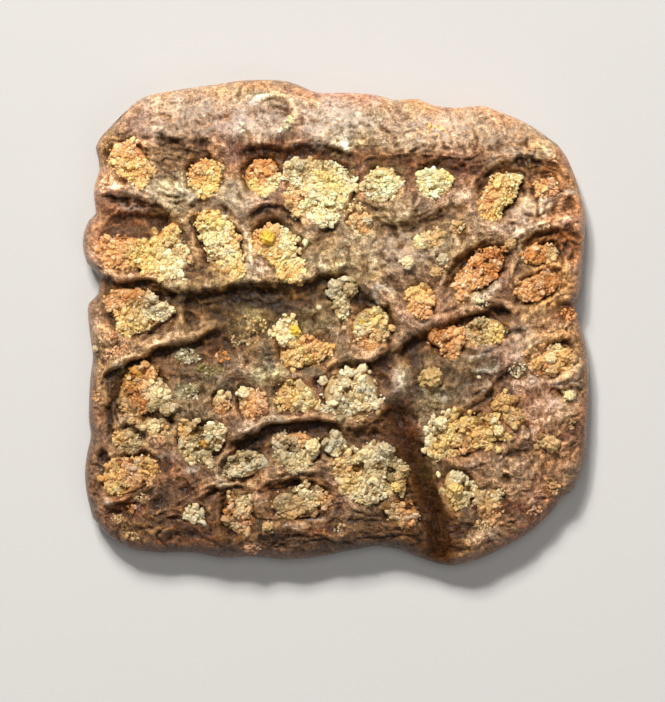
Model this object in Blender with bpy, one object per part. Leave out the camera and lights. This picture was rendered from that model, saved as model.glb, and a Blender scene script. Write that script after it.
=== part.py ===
"""Fossil crocodile scute: one bony plate from a crocodile's back armour, with the sand that is still
cemented in its pits.

The plate is one solid, modelled as an upper and a lower height over its outline. Each plug of sand is a
solid of its own that sits in one pit, a small gap above the bone.

Plan positions and plan sizes are in squares of the drawing grid, with x to the right and y towards the
rear edge of the scute, because that is how the pits and folds were set out. Heights, depths and the
widths of folds and ridges are in millimetres. The finished model is in metres: +X to the right, +Y
towards the smooth facet at the front edge, +Z up, with the origin under the middle of the plate.
"""

import math

import bpy
import numpy as np

# ---------------------------------------------------------------- driving dimensions

MM = 0.001
SQUARE = 0.15              # mm, side of one square of the drawing grid
PLAN_CENTRE = (336, 322.5)  # squares, the plan point that lies over the origin
OUTLINE_STEP = 1.0         # mm between the points of the smoothed outline
LINE_STEP = 1.5            # mm between the points of a smoothed fold or ridge

FIELD_LEVEL = 7.0          # mm, mean level of the pitted field at its border
CROWN = 1.8                # mm, how much the middle of the field stands above that
CROWN_REACH = 46.0         # mm from the middle to where the crown ends
FACET_DROP = 0.3           # mm that the smooth facet lies below the field where they meet
FACET_FALL = 0.08          # mm of fall per mm towards the front edge
FACET_STEP = (-0.4, 0.5)   # mm behind and ahead of the facet's edge between which the drop lies
RIM_LEVEL = 2.8            # mm, mean level of the widest line round the edge
RIM_WAVE = 0.5             # mm that this line rises and falls
RIM_WAVE_CELL = 8.0        # mm from one rise of it to the next
UPPER_ROUND = 4.2          # mm, width of the rounding above that line
LOWER_ROUND = 3.6          # mm, width of the rounding below it
WANDER = 0.35              # mm, how far the lines of pits and folds stray
WANDER_CELL = 3.1          # mm from one bend of that straying to the next
FOLD_END = 3.0             # mm over which a fold or ridge fades out at each end
FOLD_TIP = -0.5            # mm, where that fading would reach nothing: just past the end
RELIEF_REACH = 3           # widths of a fold or ridge beyond which it leaves the bone as it is
PIT_WALL = (0.55, 1.08)    # shares of a pit's size between which its wall rises from floor to rim
LUMP_FOOT = 1.2            # share of a lump's size at which it ends

GRID = (120, 116)          # cells of the plate's mesh across and along, before it is thinned
EDGE_CROWDING = 0.55       # how much closer the cells lie at the edge than in the middle
SIDE_SAMPLES = 400         # points that measure the length along each side
PLATE_FACES = 5400         # triangles that the thinned plate keeps
FLAT_BELOW = 0.02          # mm: corners of the underside lower than this lie on the ground plane

GAP = 0.32                 # mm between a plug of sand and the bone
PLUG_EDGE = 0.3            # mm, thickness of a plug at its edge
PLUG_SIDES = 11            # corners round a plug
PLUG_INNER_RING = 0.62     # where a plug's second ring of corners lies, as a share of the first
PLUG_REACH = 60            # squares, farther than any plug reaches from its middle
PLUG_SAMPLES = 400         # points tried along that reach
LOBE_BLEND = 4             # how sharply the ellipses of a plug meet: more is sharper
LIFT_SAMPLES = 7           # points along each edge of a plug's underside faces where the gap is measured
LIFT_PASSES = 4            # times that the underside is gone over, as neighbouring faces share corners
SAND_SAG = 0.35            # mm that a plug's top drops from its middle to its edge
SAND_LUMP = 0.15           # mm, height of the lumps of a plug's top
SAND_LUMP_CELL = 1.3       # mm from one of them to the next
ABOVE_ALL = 1.0            # m, a height above the whole part from which its surface is probed

# ---------------------------------------------------------------- plan, in squares

# The outline, from the front left corner clockwise. A corner is named where one side ends.
FRONT_SIDE = [(120, 117), (133, 103), (147, 95), (170, 90), (212, 84), (245, 79.5), (280, 79.5), (298, 84),
              (318, 92), (345, 92), (375, 94), (395, 99), (417, 98), (432, 104), (455, 107), (482, 105),
              (498, 110), (530, 124), (558, 144)]
RIGHT_SIDE = [(558, 144), (569, 160), (581, 192), (586, 220), (584, 255), (582, 290), (577, 308), (585, 337),
              (589, 365), (590, 395), (588, 425), (586, 455), (580, 477), (571, 493)]
REAR_SIDE = [(571, 493), (562, 498), (550, 514), (528, 534), (502, 549), (478, 560), (450, 566), (425, 560),
             (402, 551), (378, 547), (350, 551), (320, 557), (285, 560), (252, 557), (222, 558), (192, 553),
             (158, 553), (128, 548), (108, 537), (92, 518)]
LEFT_SIDE = [(92, 518), (86, 495), (84, 474), (86, 455), (90, 436), (88, 418), (89, 382), (92, 357), (90, 342),
    (87, 316), (88, 303), (97, 294), (98, 277), (86, 262), (82, 246), (83, 233), (88, 220), (95, 213),
             (93, 197), (94, 184), (99, 169), (98, 160), (95, 147), (99, 137), (108, 131), (120, 117)]

# The rear edge of the smooth facet.
FACET_EDGE = [(80, 138), (112, 136), (140, 143), (160, 140), (185, 148), (205, 143), (240, 146), (270, 143),
              (300, 141), (335, 144), (365, 153), (400, 155), (430, 153), (460, 152), (490, 155), (520, 153),
              (545, 160), (600, 182)]

# Pits, in rows A to F from the facet to the rear edge: x, y, half length, half width, turn in degrees
# (anticlockwise), depth in mm.
PITS = dict(
    A1=(129, 163, 28, 21, -50, 1.9), A10=(107, 182, 12, 9, 40, 0.4), A2=(205, 177, 23, 20, -50, 1.5),
    A11=(201, 147, 11, 6, 0, 0.9), A3=(262, 173, 24, 22, 0, 1.8), A4=(322, 187, 37, 35, 0, 2.1),
    A5=(381, 184, 20, 20, 0, 1.5), A6=(434, 183, 22, 17, 0, 1.4), A12=(468, 171, 17, 8, 10, 0.8),
    A7=(500, 196, 33, 22, 58, 1.9), A8=(543, 187, 20, 14, 25, 1.0), A13=(558, 173, 10, 8, -20, 0.9),
    A14=(570, 203, 12, 6, -10, 0.9), A9=(272, 115, 26, 17, 8, 0.5),
    B1=(142, 243, 52, 41, -8, 2.2), B2=(220, 241, 38, 26, -58, 2.0), B3=(281, 247, 36, 26, -50, 2.0),
    B4=(359, 222, 16, 14, 0, 1.3), B5=(428, 241, 22, 12, 15, 0.8), B6=(480, 270, 37, 22, 42, 1.9),
    B7=(548, 253, 28, 14, 15, 1.2), B11=(509, 247, 9, 8, 0, 0.6), B8=(539, 288, 32, 17, 22, 1.5),
    B9=(567, 314, 11, 9, 0, 0.8), B10=(570, 250, 12, 13, 0, 1.1), B12=(554, 237, 8, 5, 0, 0.8),
    C1=(138, 314, 46, 27, -12, 1.9), C16=(116, 351, 16, 9, 20, 0.5), C3=(303, 343, 34, 31, -30, 1.6),
    C4=(343, 290, 19, 14, 0, 1.2), C17=(343, 312, 12, 11, 0, 0.9), C5=(369, 328, 22, 25, 0, 1.8),
    C6=(421, 302, 16, 21, 0, 1.3), C7=(447, 341, 24, 18, -20, 1.5), C8=(486, 330, 28, 16, 5, 1.6),
    C9=(553, 361, 28, 18, 5, 1.6), C10=(431, 378, 15, 13, 0, 1.0), C11=(518, 373, 14, 10, 0, 0.8),
    C12=(569, 395, 12, 9, 0, 0.6), C13=(486, 361, 22, 9, -5, 0.7), C14=(472, 379, 26, 9, 0, 0.6),
    C15=(225, 350, 22, 12, 0, 0.6), C18=(170, 298, 20, 8, -10, 0.5), C19=(205, 300, 20, 14, 10, 0.5),
    C2=(319, 382, 9, 10, 0, 1.0),
    D1=(141, 392, 35, 31, 20, 2.1), D11=(160, 422, 17, 15, 0, 1.2), D12=(128, 438, 18, 14, 0, 1.4),
    D2=(188, 356, 15, 10, 0, 0.9), D3=(209, 370, 16, 5, -10, 0.4), D4=(222, 402, 12, 14, 0, 1.1),
    D5=(251, 403, 17, 18, 0, 1.2), D6=(297, 397, 25, 19, -10, 1.4), D7=(351, 394, 33, 29, 0, 1.6),
    D8=(97, 395, 9, 9, 0, 0.5), D10=(190, 393, 12, 6, -35, 0.5),
    E1=(203, 441, 27, 25, 0, 1.6), E2=(243, 466, 25, 18, 15, 1.6), E3=(297, 450, 29, 21, 0, 1.9),
    E4=(333, 444, 17, 15, 0, 1.5), E5=(372, 473, 40, 33, 10, 2.1), E6=(463, 434, 39, 25, 10, 1.6),
    E7=(509, 411, 25, 14, -50, 1.0), E8=(546, 442, 13, 11, 0, 0.8), E9=(571, 425, 9, 8, 0, 0.5),
    E10=(515, 453, 16, 6, -10, 0.8), E11=(168, 465, 7, 11, 0, 0.7), E12=(103, 460, 9, 13, 0, 1.0),
    E13=(316, 477, 11, 8, 0, 0.9),
    F1=(130, 476, 33, 21, 20, 1.8), F2=(143, 498, 9, 7, 0, 0.8), F16=(161, 501, 12, 9, 20, 0.6),
    F17=(190, 489, 15, 8, -20, 0.7), F3=(197, 514, 14, 11, 0, 1.1), F4=(237, 512, 20, 26, 10, 1.5),
    F5=(302, 500, 37, 22, 3, 1.9), F6=(337, 522, 9, 9, 0, 0.7), F7=(401, 512, 23, 15, 10, 1.3),
    F8=(458, 489, 18, 24, 15, 1.4), F9=(490, 507, 20, 22, 0, 0.8), F10=(552, 488, 8, 10, 0, 0.4),
    F11=(533, 511, 14, 9, 30, 0.5), F13=(124, 511, 24, 10, 15, 0.9), F14=(280, 539, 26, 7, 0, 0.7),
    F18=(338, 507, 8, 9, 0, 0.7),
    F15=(190, 535, 30, 9, 10, 0.7),
)

# Folds: depth, width of the steep side on the left of the line, width of the gentle side (mm), line.
FOLDS = [
    (0.6, 0.5, 1.3, [(110, 136), (130, 140), (142, 148), (150, 160), (153, 172)]),
    (0.6, 0.5, 1.4, [(148, 129), (164, 132), (178, 137), (192, 143)]),
    (0.7, 0.4, 1.0, [(168, 149), (190, 152), (205, 156), (216, 163), (229, 174)]),
    (1.0, 0.6, 1.8, [(234, 147), (262, 148), (286, 153), (300, 148), (320, 146), (338, 150), (354, 159)]),
    (1.3, 0.7, 2.0, [(358, 159), (380, 161), (405, 159), (430, 160), (460, 163), (494, 165)]),
    (0.6, 0.8, 0.8, [(358, 165), (359, 180), (360, 196)]),
    (0.5, 0.8, 0.8, [(408, 165), (408, 180), (412, 192)]),
    (1.0, 0.5, 1.5, [(474, 204), (481, 185), (496, 171), (520, 163), (548, 166), (568, 172)]),
    (1.1, 0.4, 2.0, [(90, 200), (115, 199), (138, 200), (150, 205), (160, 212), (169, 222)]),
    (0.6, 0.5, 1.0, [(188, 207), (206, 202), (226, 209), (242, 224)]),
    (0.9, 0.5, 1.3, [(241, 225), (252, 215), (266, 208), (284, 210), (297, 221), (306, 238)]),
    (0.8, 0.6, 1.4, [(310, 237), (328, 230), (347, 224)]),
    (0.5, 0.5, 0.8, [(347, 212), (362, 206), (374, 213), (382, 226)]),
    (0.8, 0.7, 1.4, [(378, 224), (395, 230), (412, 227), (432, 218), (452, 208), (470, 210)]),
    (1.0, 0.5, 1.5, [(446, 294), (450, 277), (458, 264), (472, 252), (490, 243), (503, 244)]),
    (1.2, 0.6, 1.4, [(516, 252), (530, 241), (546, 235), (562, 233), (582, 240)]),
    (1.6, 0.5, 2.0, [(84, 266), (97, 274), (110, 282), (125, 287), (140, 285), (150, 286), (162, 291),
                     (176, 296), (188, 302)]),
    (1.7, 0.5, 2.3, [(176, 296), (205, 299), (235, 292), (262, 291), (285, 292), (305, 289), (325, 283),
                     (342, 278), (358, 283)]),
    (1.4, 0.5, 1.6, [(348, 280), (362, 287), (373, 298), (384, 307), (389, 321), (388, 340), (380, 354)]),
    (1.5, 0.5, 2.2, [(106, 390), (115, 376), (127, 367), (142, 360), (161, 352), (181, 347), (201, 342),
                     (215, 334), (221, 321)]),
    (1.5, 0.5, 2.2, [(388, 356), (405, 347), (422, 338), (440, 328), (457, 322), (476, 317), (491, 312),
                     (506, 314), (518, 324)]),
    (1.3, 0.5, 1.4, [(350, 366), (370, 365), (386, 359), (398, 347)]),
    (1.0, 0.6, 1.2, [(522, 364), (535, 352), (548, 346), (562, 342), (580, 350)]),
    (0.8, 0.6, 1.2, [(460, 412), (480, 403), (492, 392), (503, 376), (522, 364)]),
    (1.7, 0.6, 2.3, [(222, 452), (240, 443), (256, 435), (270, 428), (300, 425), (320, 423), (338, 427),
                     (358, 432), (378, 433), (394, 441)]),
    (0.9, 0.5, 1.2, [(388, 436), (401, 450), (408, 466)]),
    (0.8, 0.5, 1.2, [(112, 457), (130, 456), (150, 456), (161, 463), (168, 474)]),
    (0.9, 0.4, 1.3, [(106, 506), (124, 503), (134, 495), (146, 491), (158, 494)]),
    (1.0, 0.5, 1.6, [(198, 501), (212, 495), (226, 490), (240, 488), (256, 492)]),
    (1.2, 0.6, 1.6, [(258, 496), (272, 485), (290, 480), (306, 482), (326, 486), (340, 494)]),
    (0.9, 0.5, 1.2, [(325, 373), (342, 366), (368, 367), (385, 379), (391, 398)]),
    (1.5, 2.6, 2.6, [(388, 398), (398, 428), (410, 458), (424, 490), (432, 520), (440, 548), (446, 568)]),
    (1.0, 0.5, 1.0, [(545, 306), (562, 305), (584, 304)]),
    (0.5, 0.5, 0.8, [(86, 343), (106, 347), (126, 345)]),
    (0.6, 0.4, 0.8, [(93, 156), (103, 166), (112, 177)]),
    (0.7, 0.5, 1.0, [(150, 523), (172, 520), (196, 526)]),
    (0.7, 0.4, 0.8, [(544, 388), (560, 388), (576, 385)]),
    (0.6, 0.5, 1.2, [(160, 372), (185, 378), (205, 372)]),
]

# Ridges: height, half width (mm), line.
RIDGES = [
    (0.5, 1.2, [(94, 192), (120, 190), (146, 195), (166, 206), (184, 222)]),
    (0.6, 1.0, [(92, 266), (112, 275), (140, 275), (158, 282), (176, 288), (196, 282)]),
    (0.7, 0.9, [(112, 366), (128, 357), (144, 350), (164, 342), (186, 336), (208, 328)]),
    (0.6, 0.6, [(350, 359), (370, 356), (383, 348)]),
    (0.7, 1.0, [(362, 275), (380, 288), (394, 303), (402, 322)]),
    (0.6, 0.8, [(230, 440), (250, 430), (268, 422), (290, 420), (316, 413)]),
    (0.6, 0.9, [(324, 418), (345, 422), (366, 421), (382, 411), (391, 398)]),
    (0.8, 0.7, [(96, 497), (110, 500), (124, 497), (136, 487), (147, 482)]),
    (0.6, 0.5, [(405, 466), (412, 481), (421, 498)]),
    (0.7, 1.0, [(500, 240), (530, 229), (555, 222), (584, 215)]),
    (0.7, 1.1, [(496, 366), (518, 354), (540, 341), (562, 333)]),
    (0.5, 0.7, [(543, 382), (560, 375), (577, 369)]),
    (0.5, 1.0, [(462, 306), (480, 299), (496, 290), (506, 284)]),
    (0.5, 0.8, [(98, 429), (110, 421), (124, 420)]),
    (0.6, 0.7, [(126, 452), (138, 445), (152, 439), (178, 438)]),
    (0.5, 1.0, [(168, 514), (184, 500), (202, 490), (222, 482), (244, 480)]),
    (0.5, 0.8, [(268, 523), (284, 524), (302, 523)]),
    (0.5, 0.6, [(142, 533), (156, 530), (168, 522), (178, 521)]),
    (0.5, 0.6, [(148, 550), (158, 542), (166, 535)]),
    (0.5, 0.7, [(280, 472), (300, 467), (322, 461)]),
    (0.5, 0.5, [(507, 286), (511, 271), (519, 252)]),
    (0.5, 0.6, [(526, 436), (533, 430), (544, 424)]),
    (0.5, 1.0, [(438, 472), (444, 498), (452, 526)]),
    (0.4, 0.8, [(352, 250), (380, 262), (404, 285), (410, 318)]),
    (0.5, 0.6, [(402, 170), (420, 164), (441, 159)]),
    (0.4, 0.6, [(164, 174), (184, 193), (205, 199)]),
    (0.5, 0.8, [(250, 224), (248, 250), (250, 280)]),
    (0.5, 0.7, [(334, 480), (346, 491), (352, 502), (356, 513)]),
    (0.4, 0.6, [(146, 126), (160, 128), (176, 133)]),
    (0.4, 0.6, [(548, 384), (562, 378), (576, 371)]),
]

# Rounded lumps of bone: x, y, half length, half width, turn, height in mm.
LUMPS = [
    (345, 148, 20, 10, 0, 0.7), (258, 200, 16, 12, 0, 0.4), (172, 190, 18, 16, 0, 0.5),
    (330, 255, 34, 16, 20, 0.5), (400, 212, 20, 10, 0, 0.4), (200, 312, 26, 14, 20, 0.3),
    (250, 320, 22, 26, 0, 0.4), (448, 385, 16, 10, 20, 0.4), (488, 386, 10, 6, 0, 0.4),
    (190, 400, 18, 16, 0, 0.5), (272, 372, 30, 12, 0, 0.4), (104, 340, 12, 20, 0, 0.4),
    (520, 480, 26, 30, 0, 0.5), (470, 545, 34, 16, 15, 0.5), (360, 535, 40, 12, 0, 0.4),
    (240, 540, 40, 12, 0, 0.4), (526, 330, 14, 20, 0, 0.5), (315, 329, 14, 9, 0, 0.4),
    (545, 405, 20, 10, 0, 0.4),
    (440, 400, 22, 8, 0, 0.4), (230, 372, 20, 10, 0, 0.4), (276, 215, 10, 8, 0, 0.3),
]

# Sand: the ellipses that make up a plug (x, y, half length, half width, turn), and how far the middle of
# its top lies below the level of the bone round it, in mm.
SAND = dict(
    A1=([(130, 163, 23, 17, -50)], 0.5), A2=([(206, 179, 19, 17, -25)], 0.7),
    A3=([(261, 173, 19, 19, 0)], 0.5),
    A4=([(322, 188, 32, 32, 0), (299, 170, 14, 12, 0)], 0.3), A5=([(381, 185, 17, 17, 0)], 0.3),
    A6=([(434, 184, 18, 14, 0)], 0.3), A7=([(508, 182, 14, 10, 20), (493, 204, 21, 15, 60)], 0.5),
    A8=([(543, 187, 15, 10, 30)], 0.4),
    B1=([(122, 252, 25, 15, 0), (162, 260, 27, 17, -10), (172, 236, 8, 15, 0)], 0.8),
    B2=([(213, 224, 16, 14, -40), (227, 252, 25, 18, -62)], 0.4),
    B3=([(277, 240, 21, 17, -25), (288, 262, 20, 13, -60)], 0.5), B4=([(359, 223, 12, 11, 0)], 0.4),
    B5=([(427, 241, 17, 8, 20)], 0.3), B6=([(480, 270, 31, 16, 42)], 0.5), B7=([(545, 254, 21, 9, 12)], 0.5),
    B8=([(540, 287, 27, 12, 25)], 0.5),
    C1=([(130, 308, 24, 19, -10), (147, 322, 19, 13, 0)], 0.6),
    C3=([(287, 331, 11, 19, 5), (306, 356, 26, 12, 10)], 0.4),
    C4=([(343, 289, 15, 11, 0), (342, 309, 8, 12, 0)], 0.3), C5=([(369, 329, 17, 21, 0)], 0.5),
    C6=([(420, 302, 12, 17, 0)], 0.3), C7=([(446, 336, 20, 10, 5), (450, 349, 10, 9, 0)], 0.4),
    C8=([(484, 331, 21, 13, 0)], 0.5),
    C9=([(552, 360, 24, 14, 0)], 0.5), C10=([(431, 378, 11, 10, 0)], 0.2),
    D1=([(142, 388, 20, 23, 0), (127, 403, 14, 14, 0), (159, 398, 13, 12, 0)], 0.5),
    D11=([(158, 425, 13, 10, 0)], 0.4), D12=([(127, 439, 13, 11, 0)], 0.5), D4=([(222, 403, 9, 11, 0)], 0.3),
    D5=([(251, 405, 14, 14, 0)], 0.3), D6=([(297, 397, 20, 15, -10)], 0.3), D7=([(351, 394, 27, 26, 0)], 0.2),
    E1=([(190, 441, 10, 20, 5), (214, 435, 13, 14, -30), (198, 454, 13, 7, 0)], 0.4),
    E2=([(243, 465, 21, 14, 15)], 0.5), E3=([(296, 450, 23, 18, 0)], 0.5), E4=([(335, 444, 12, 12, 0)], 0.5),
    E5=([(370, 473, 32, 29, 10), (396, 474, 12, 12, 0)], 0.3),
    E6=([(468, 434, 31, 18, 10), (444, 438, 14, 15, 0)], 0.3),
    E7=([(503, 402, 11, 9, 0), (513, 417, 11, 11, 0)], 0.2), E8=([(545, 442, 9, 8, 0)], 0.3),
    F1=([(132, 475, 27, 16, 22)], 0.5), F3=([(197, 515, 11, 8, 0)], 0.3), F4=([(238, 512, 13, 22, 10)], 0.5),
    F5=([(302, 500, 31, 17, 3)], 0.5), F7=([(402, 513, 16, 11, 0)], 0.4), F8=([(457, 489, 13, 20, 15)], 0.4),
    F9=([(489, 505, 13, 17, -10)], 0.2),
)

BONE_COLOUR, BONE_ROUGHNESS = (0.22, 0.12, 0.07, 1), 0.45
SAND_COLOUR, SAND_ROUGHNESS = (0.60, 0.42, 0.20, 1), 0.6


# ---------------------------------------------------------------- curves and noise, in mm

def plan_mm(points):
    """Plan points in mm, with y towards the front edge."""
    points = np.array(points, float)
    return np.stack([(points[:, 0] - PLAN_CENTRE[0]) * SQUARE, (PLAN_CENTRE[1] - points[:, 1]) * SQUARE], 1)


def curve_through(points, spacing):
    """Points about one spacing apart on a smooth curve through the given points."""
    p = np.vstack([2 * points[0] - points[1], points, 2 * points[-1] - points[-2]])
    out = []
    for a, b, c, d in zip(p, p[1:], p[2:], p[3:]):
        steps = max(1, round(float(np.hypot(*(c - b))) / spacing))
        for t in np.arange(steps) / steps:
            out.append(0.5 * (2 * b + (c - a) * t + (2 * a - 5 * b + 4 * c - d) * t ** 2
                              + (3 * b - a - 3 * c + d) * t ** 3))
    return np.array(out + [points[-1]])


def evenly(points, count):
    """The given number of points, equally far apart, on a chain of points."""
    run = np.concatenate([[0], np.cumsum(np.hypot(*np.diff(points, axis=0).T))])
    at = np.linspace(0, run[-1], count)
    return np.stack([np.interp(at, run, points[:, k]) for k in (0, 1)], 1)


def smooth_step(low, high, value):
    t = np.clip((value - low) / (high - low), 0, 1)
    return t * t * (3 - 2 * t)


def noise(x, y, cell, seed):
    """Smooth noise between -1 and 1, with its hills about one cell (mm) apart."""
    column, row = np.floor(x / cell).astype(np.int64), np.floor(y / cell).astype(np.int64)
    fx, fy = smooth_step(0, 1, x / cell - column), smooth_step(0, 1, y / cell - row)

    def corner(i, j):
        n = (i * 374761393 + j * 668265263 + seed * 974634777) & 0xFFFFFFFF
        n = ((n ^ (n >> 13)) * 1274126177) & 0xFFFFFFFF
        return ((n ^ (n >> 16)) & 0xFFFF) / 32767.5 - 1

    near = corner(column, row) * (1 - fx) + corner(column + 1, row) * fx
    far = corner(column, row + 1) * (1 - fx) + corner(column + 1, row + 1) * fx
    return near * (1 - fy) + far * fy


def from_path(x, y, path):
    """Distance to a path, above 0 on its left, and the distance along it from the nearer end."""
    nearest, side, along = np.full(x.shape, 1e9), np.ones(x.shape), np.zeros(x.shape)
    run = 0.0
    for (x0, y0), (x1, y1) in zip(path, path[1:]):
        dx, dy = x1 - x0, y1 - y0
        length = math.hypot(dx, dy)
        t = np.clip(((x - x0) * dx + (y - y0) * dy) / length ** 2, 0, 1)
        distance = np.hypot(x - x0 - t * dx, y - y0 - t * dy)
        closer = distance < nearest
        nearest = np.where(closer, distance, nearest)
        side = np.where(closer, np.sign(dx * (y - y0) - dy * (x - x0) + 1e-12), side)
        along = np.where(closer, run + t * length, along)
        run += length
    return nearest * side, np.minimum(along, run - along)


def from_ellipse(x, y, cx, cy, half_length, half_width, turn):
    """0 in the middle of an ellipse of the plan, 1 on its edge."""
    (mx, my), = plan_mm([(cx, cy)])
    c, s = math.cos(math.radians(turn)), math.sin(math.radians(turn))
    u, v = (x - mx) * c + (y - my) * s, (y - my) * c - (x - mx) * s
    return np.hypot(u / (half_length * SQUARE), v / (half_width * SQUARE))


# ---------------------------------------------------------------- the plate's surface, in mm

SIDES = [curve_through(plan_mm(side), OUTLINE_STEP) for side in (FRONT_SIDE, RIGHT_SIDE, REAR_SIDE, LEFT_SIDE)]
OUTLINE = np.vstack([side[:-1] for side in SIDES] + [SIDES[0][:1]])
FACET_LINE = curve_through(plan_mm(FACET_EDGE), LINE_STEP)


def line_relief(x, y, points, left_width, right_width):
    """1 along a line and less on each side, faded at its ends."""
    path = curve_through(plan_mm(points), LINE_STEP)
    reach = RELIEF_REACH * max(left_width, right_width)
    out = np.zeros(x.shape)
    near = ((x > path[:, 0].min() - reach) & (x < path[:, 0].max() + reach)
            & (y > path[:, 1].min() - reach) & (y < path[:, 1].max() + reach))
    distance, end = from_path(x[near], y[near], path)
    width = np.where(distance > 0, left_width, right_width)
    out[near] = np.exp(-(distance / width) ** 2) * smooth_step(FOLD_TIP, FOLD_END, end)
    return out


def plain_level(x, y):
    """Level of the bone's top as if it had no pits or folds: crown, facet, ridges and lumps."""
    beyond, _ = from_path(x, y, FACET_LINE)
    facet = smooth_step(*FACET_STEP, beyond)
    crown = CROWN * (1 - np.clip(np.hypot(x, y) / CROWN_REACH, 0, 1) ** 2)
    level = FIELD_LEVEL + crown - facet * (FACET_DROP + FACET_FALL * beyond)
    for height, width, points in RIDGES:
        level = level + height * line_relief(x, y, points, width, width)
    for *ellipse, height in LUMPS:
        level = level + height * (1 - smooth_step(0, LUMP_FOOT, from_ellipse(x, y, *ellipse)))
    return level


def carved_depth(x, y):
    """How deep the pits and folds are. Where they meet, the deeper one leads."""
    cubes = np.zeros(x.shape)
    for *ellipse, depth in PITS.values():
        cubes += (depth * (1 - smooth_step(*PIT_WALL, from_ellipse(x, y, *ellipse)))) ** 3
    for depth, steep, gentle, points in FOLDS:
        cubes += (depth * line_relief(x, y, points, steep, gentle)) ** 3
    return np.cbrt(cubes)


def edge_distance(x, y):
    return np.abs(from_path(x, y, OUTLINE)[0])


def rounding(distance, width):
    """Quarter-round: 0 at the edge, 1 from one width inside it."""
    return np.sqrt(1 - (1 - np.clip(distance / width, 0, 1)) ** 2)


def rim_level(x, y):
    return RIM_LEVEL + RIM_WAVE * noise(x, y, RIM_WAVE_CELL, seed=7)


def bone_top(x, y):
    stray_x = WANDER * noise(x, y, WANDER_CELL, seed=1)
    stray_y = WANDER * noise(x, y, WANDER_CELL, seed=2)
    level = plain_level(x, y) - carved_depth(x + stray_x, y + stray_y)
    rim = rim_level(x, y)
    return rim + (level - rim) * rounding(edge_distance(x, y), UPPER_ROUND)


def bone_bottom(x, y):
    return rim_level(x, y) * (1 - rounding(edge_distance(x, y), LOWER_ROUND))


# ---------------------------------------------------------------- meshes

def crowded(count):
    """0 to 1 in steps that are smaller towards both ends."""
    t = np.linspace(0, 1, count + 1)
    return t - EDGE_CROWDING * np.sin(2 * math.pi * t) / (2 * math.pi)


def grid_in_outline(across, along):
    """A grid of points that fills the outline: its four borders are the four sides."""
    u, v = crowded(across)[:, None], crowded(along)[None, :]
    front, right, rear, left = SIDES
    places = np.linspace(0, 1, SIDE_SAMPLES)

    def side(points, at):
        even = evenly(points, len(places))
        return np.stack([np.interp(at, places, even[:, k]) for k in (0, 1)], -1)

    rear_row, front_row = side(rear[::-1], u[:, 0])[:, None], side(front, u[:, 0])[:, None]
    left_row, right_row = side(left, v[0])[None], side(right[::-1], v[0])[None]
    u, v = u[..., None], v[..., None]
    corners = ((1 - u) * (1 - v) * rear_row[0, 0] + u * (1 - v) * rear_row[-1, 0]
               + (1 - u) * v * front_row[0, 0] + u * v * front_row[-1, 0])
    return (1 - v) * rear_row + v * front_row + (1 - u) * left_row + u * right_row - corners


def mesh_object(name, points, faces, colour, roughness):
    mesh = bpy.data.meshes.new(name)
    mesh.from_pydata([tuple(p * MM) for p in points], [], faces)
    mesh.update()
    material = bpy.data.materials.get(name.split("_")[0]) or bpy.data.materials.new(name.split("_")[0])
    material.use_nodes = True
    shader = material.node_tree.nodes["Principled BSDF"]
    shader.inputs["Base Color"].default_value = colour
    shader.inputs["Roughness"].default_value = roughness
    mesh.materials.append(material)
    part = bpy.data.objects.new(name, mesh)
    bpy.context.collection.objects.link(part)
    return part


def make_plate():
    """The bony plate: an upper and a lower sheet on one grid, joined round the border, then thinned."""
    across, along = GRID
    plan = grid_in_outline(across, along)
    x, y = plan[..., 0], plan[..., 1]
    top, bottom = bone_top(x, y), bone_bottom(x, y)
    border = np.zeros(x.shape, bool)
    border[[0, -1]] = border[:, [0, -1]] = True
    top[border] = rim_level(x, y)[border]

    upper = np.arange(x.size).reshape(x.shape)
    lower = upper.copy()
    lower[~border] = x.size + np.arange(np.count_nonzero(~border))
    points = np.vstack([np.stack([x, y, top], -1).reshape(-1, 3), np.stack([x, y, bottom], -1)[~border]])

    def cells(index):
        return np.stack([index[:-1, :-1], index[1:, :-1], index[1:, 1:], index[:-1, 1:]], -1).reshape(-1, 4)

    faces = [tuple(map(int, f)) for f in cells(upper)] + [tuple(map(int, f[::-1])) for f in cells(lower)]
    plate = mesh_object("scute", points, faces, BONE_COLOUR, BONE_ROUGHNESS)

    thin = plate.modifiers.new("thin", "DECIMATE")
    thin.ratio = PLATE_FACES / (2 * len(faces))
    thinned = bpy.data.meshes.new_from_object(plate.evaluated_get(bpy.context.evaluated_depsgraph_get()))
    plate.modifiers.clear()
    plate.data = thinned
    for vertex in thinned.vertices:
        if vertex.co.z < FLAT_BELOW * MM:
            vertex.co.z = 0
    thinned.shade_smooth()
    return plate


def plug_corners(lobes):
    """Corners round a plug's plan: the farthest point of its blended ellipses in each direction."""
    middle = plan_mm([lobe[:2] for lobe in lobes]).mean(0)
    reach = np.linspace(0, PLUG_REACH * SQUARE, PLUG_SAMPLES)
    corners = []
    for angle in np.arange(PLUG_SIDES) * 2 * math.pi / PLUG_SIDES:
        x, y = middle[0] + reach * math.cos(angle), middle[1] + reach * math.sin(angle)
        closeness = [(from_ellipse(x, y, *lobe) + 1e-6) ** -LOBE_BLEND for lobe in lobes]
        inside = np.sum(closeness, axis=0) >= 1
        corners.append((x[inside][-1], y[inside][-1]))
    return middle, np.array(corners)


def clear_height(plate, points):
    """The plate's own height under each point, from its finished mesh."""
    heights = []
    for x, y in points:
        hit, place, _, _ = plate.ray_cast((x * MM, y * MM, ABOVE_ALL), (0, 0, -1))
        heights.append(place.z / MM if hit else RIM_LEVEL)
    return np.array(heights)


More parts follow.
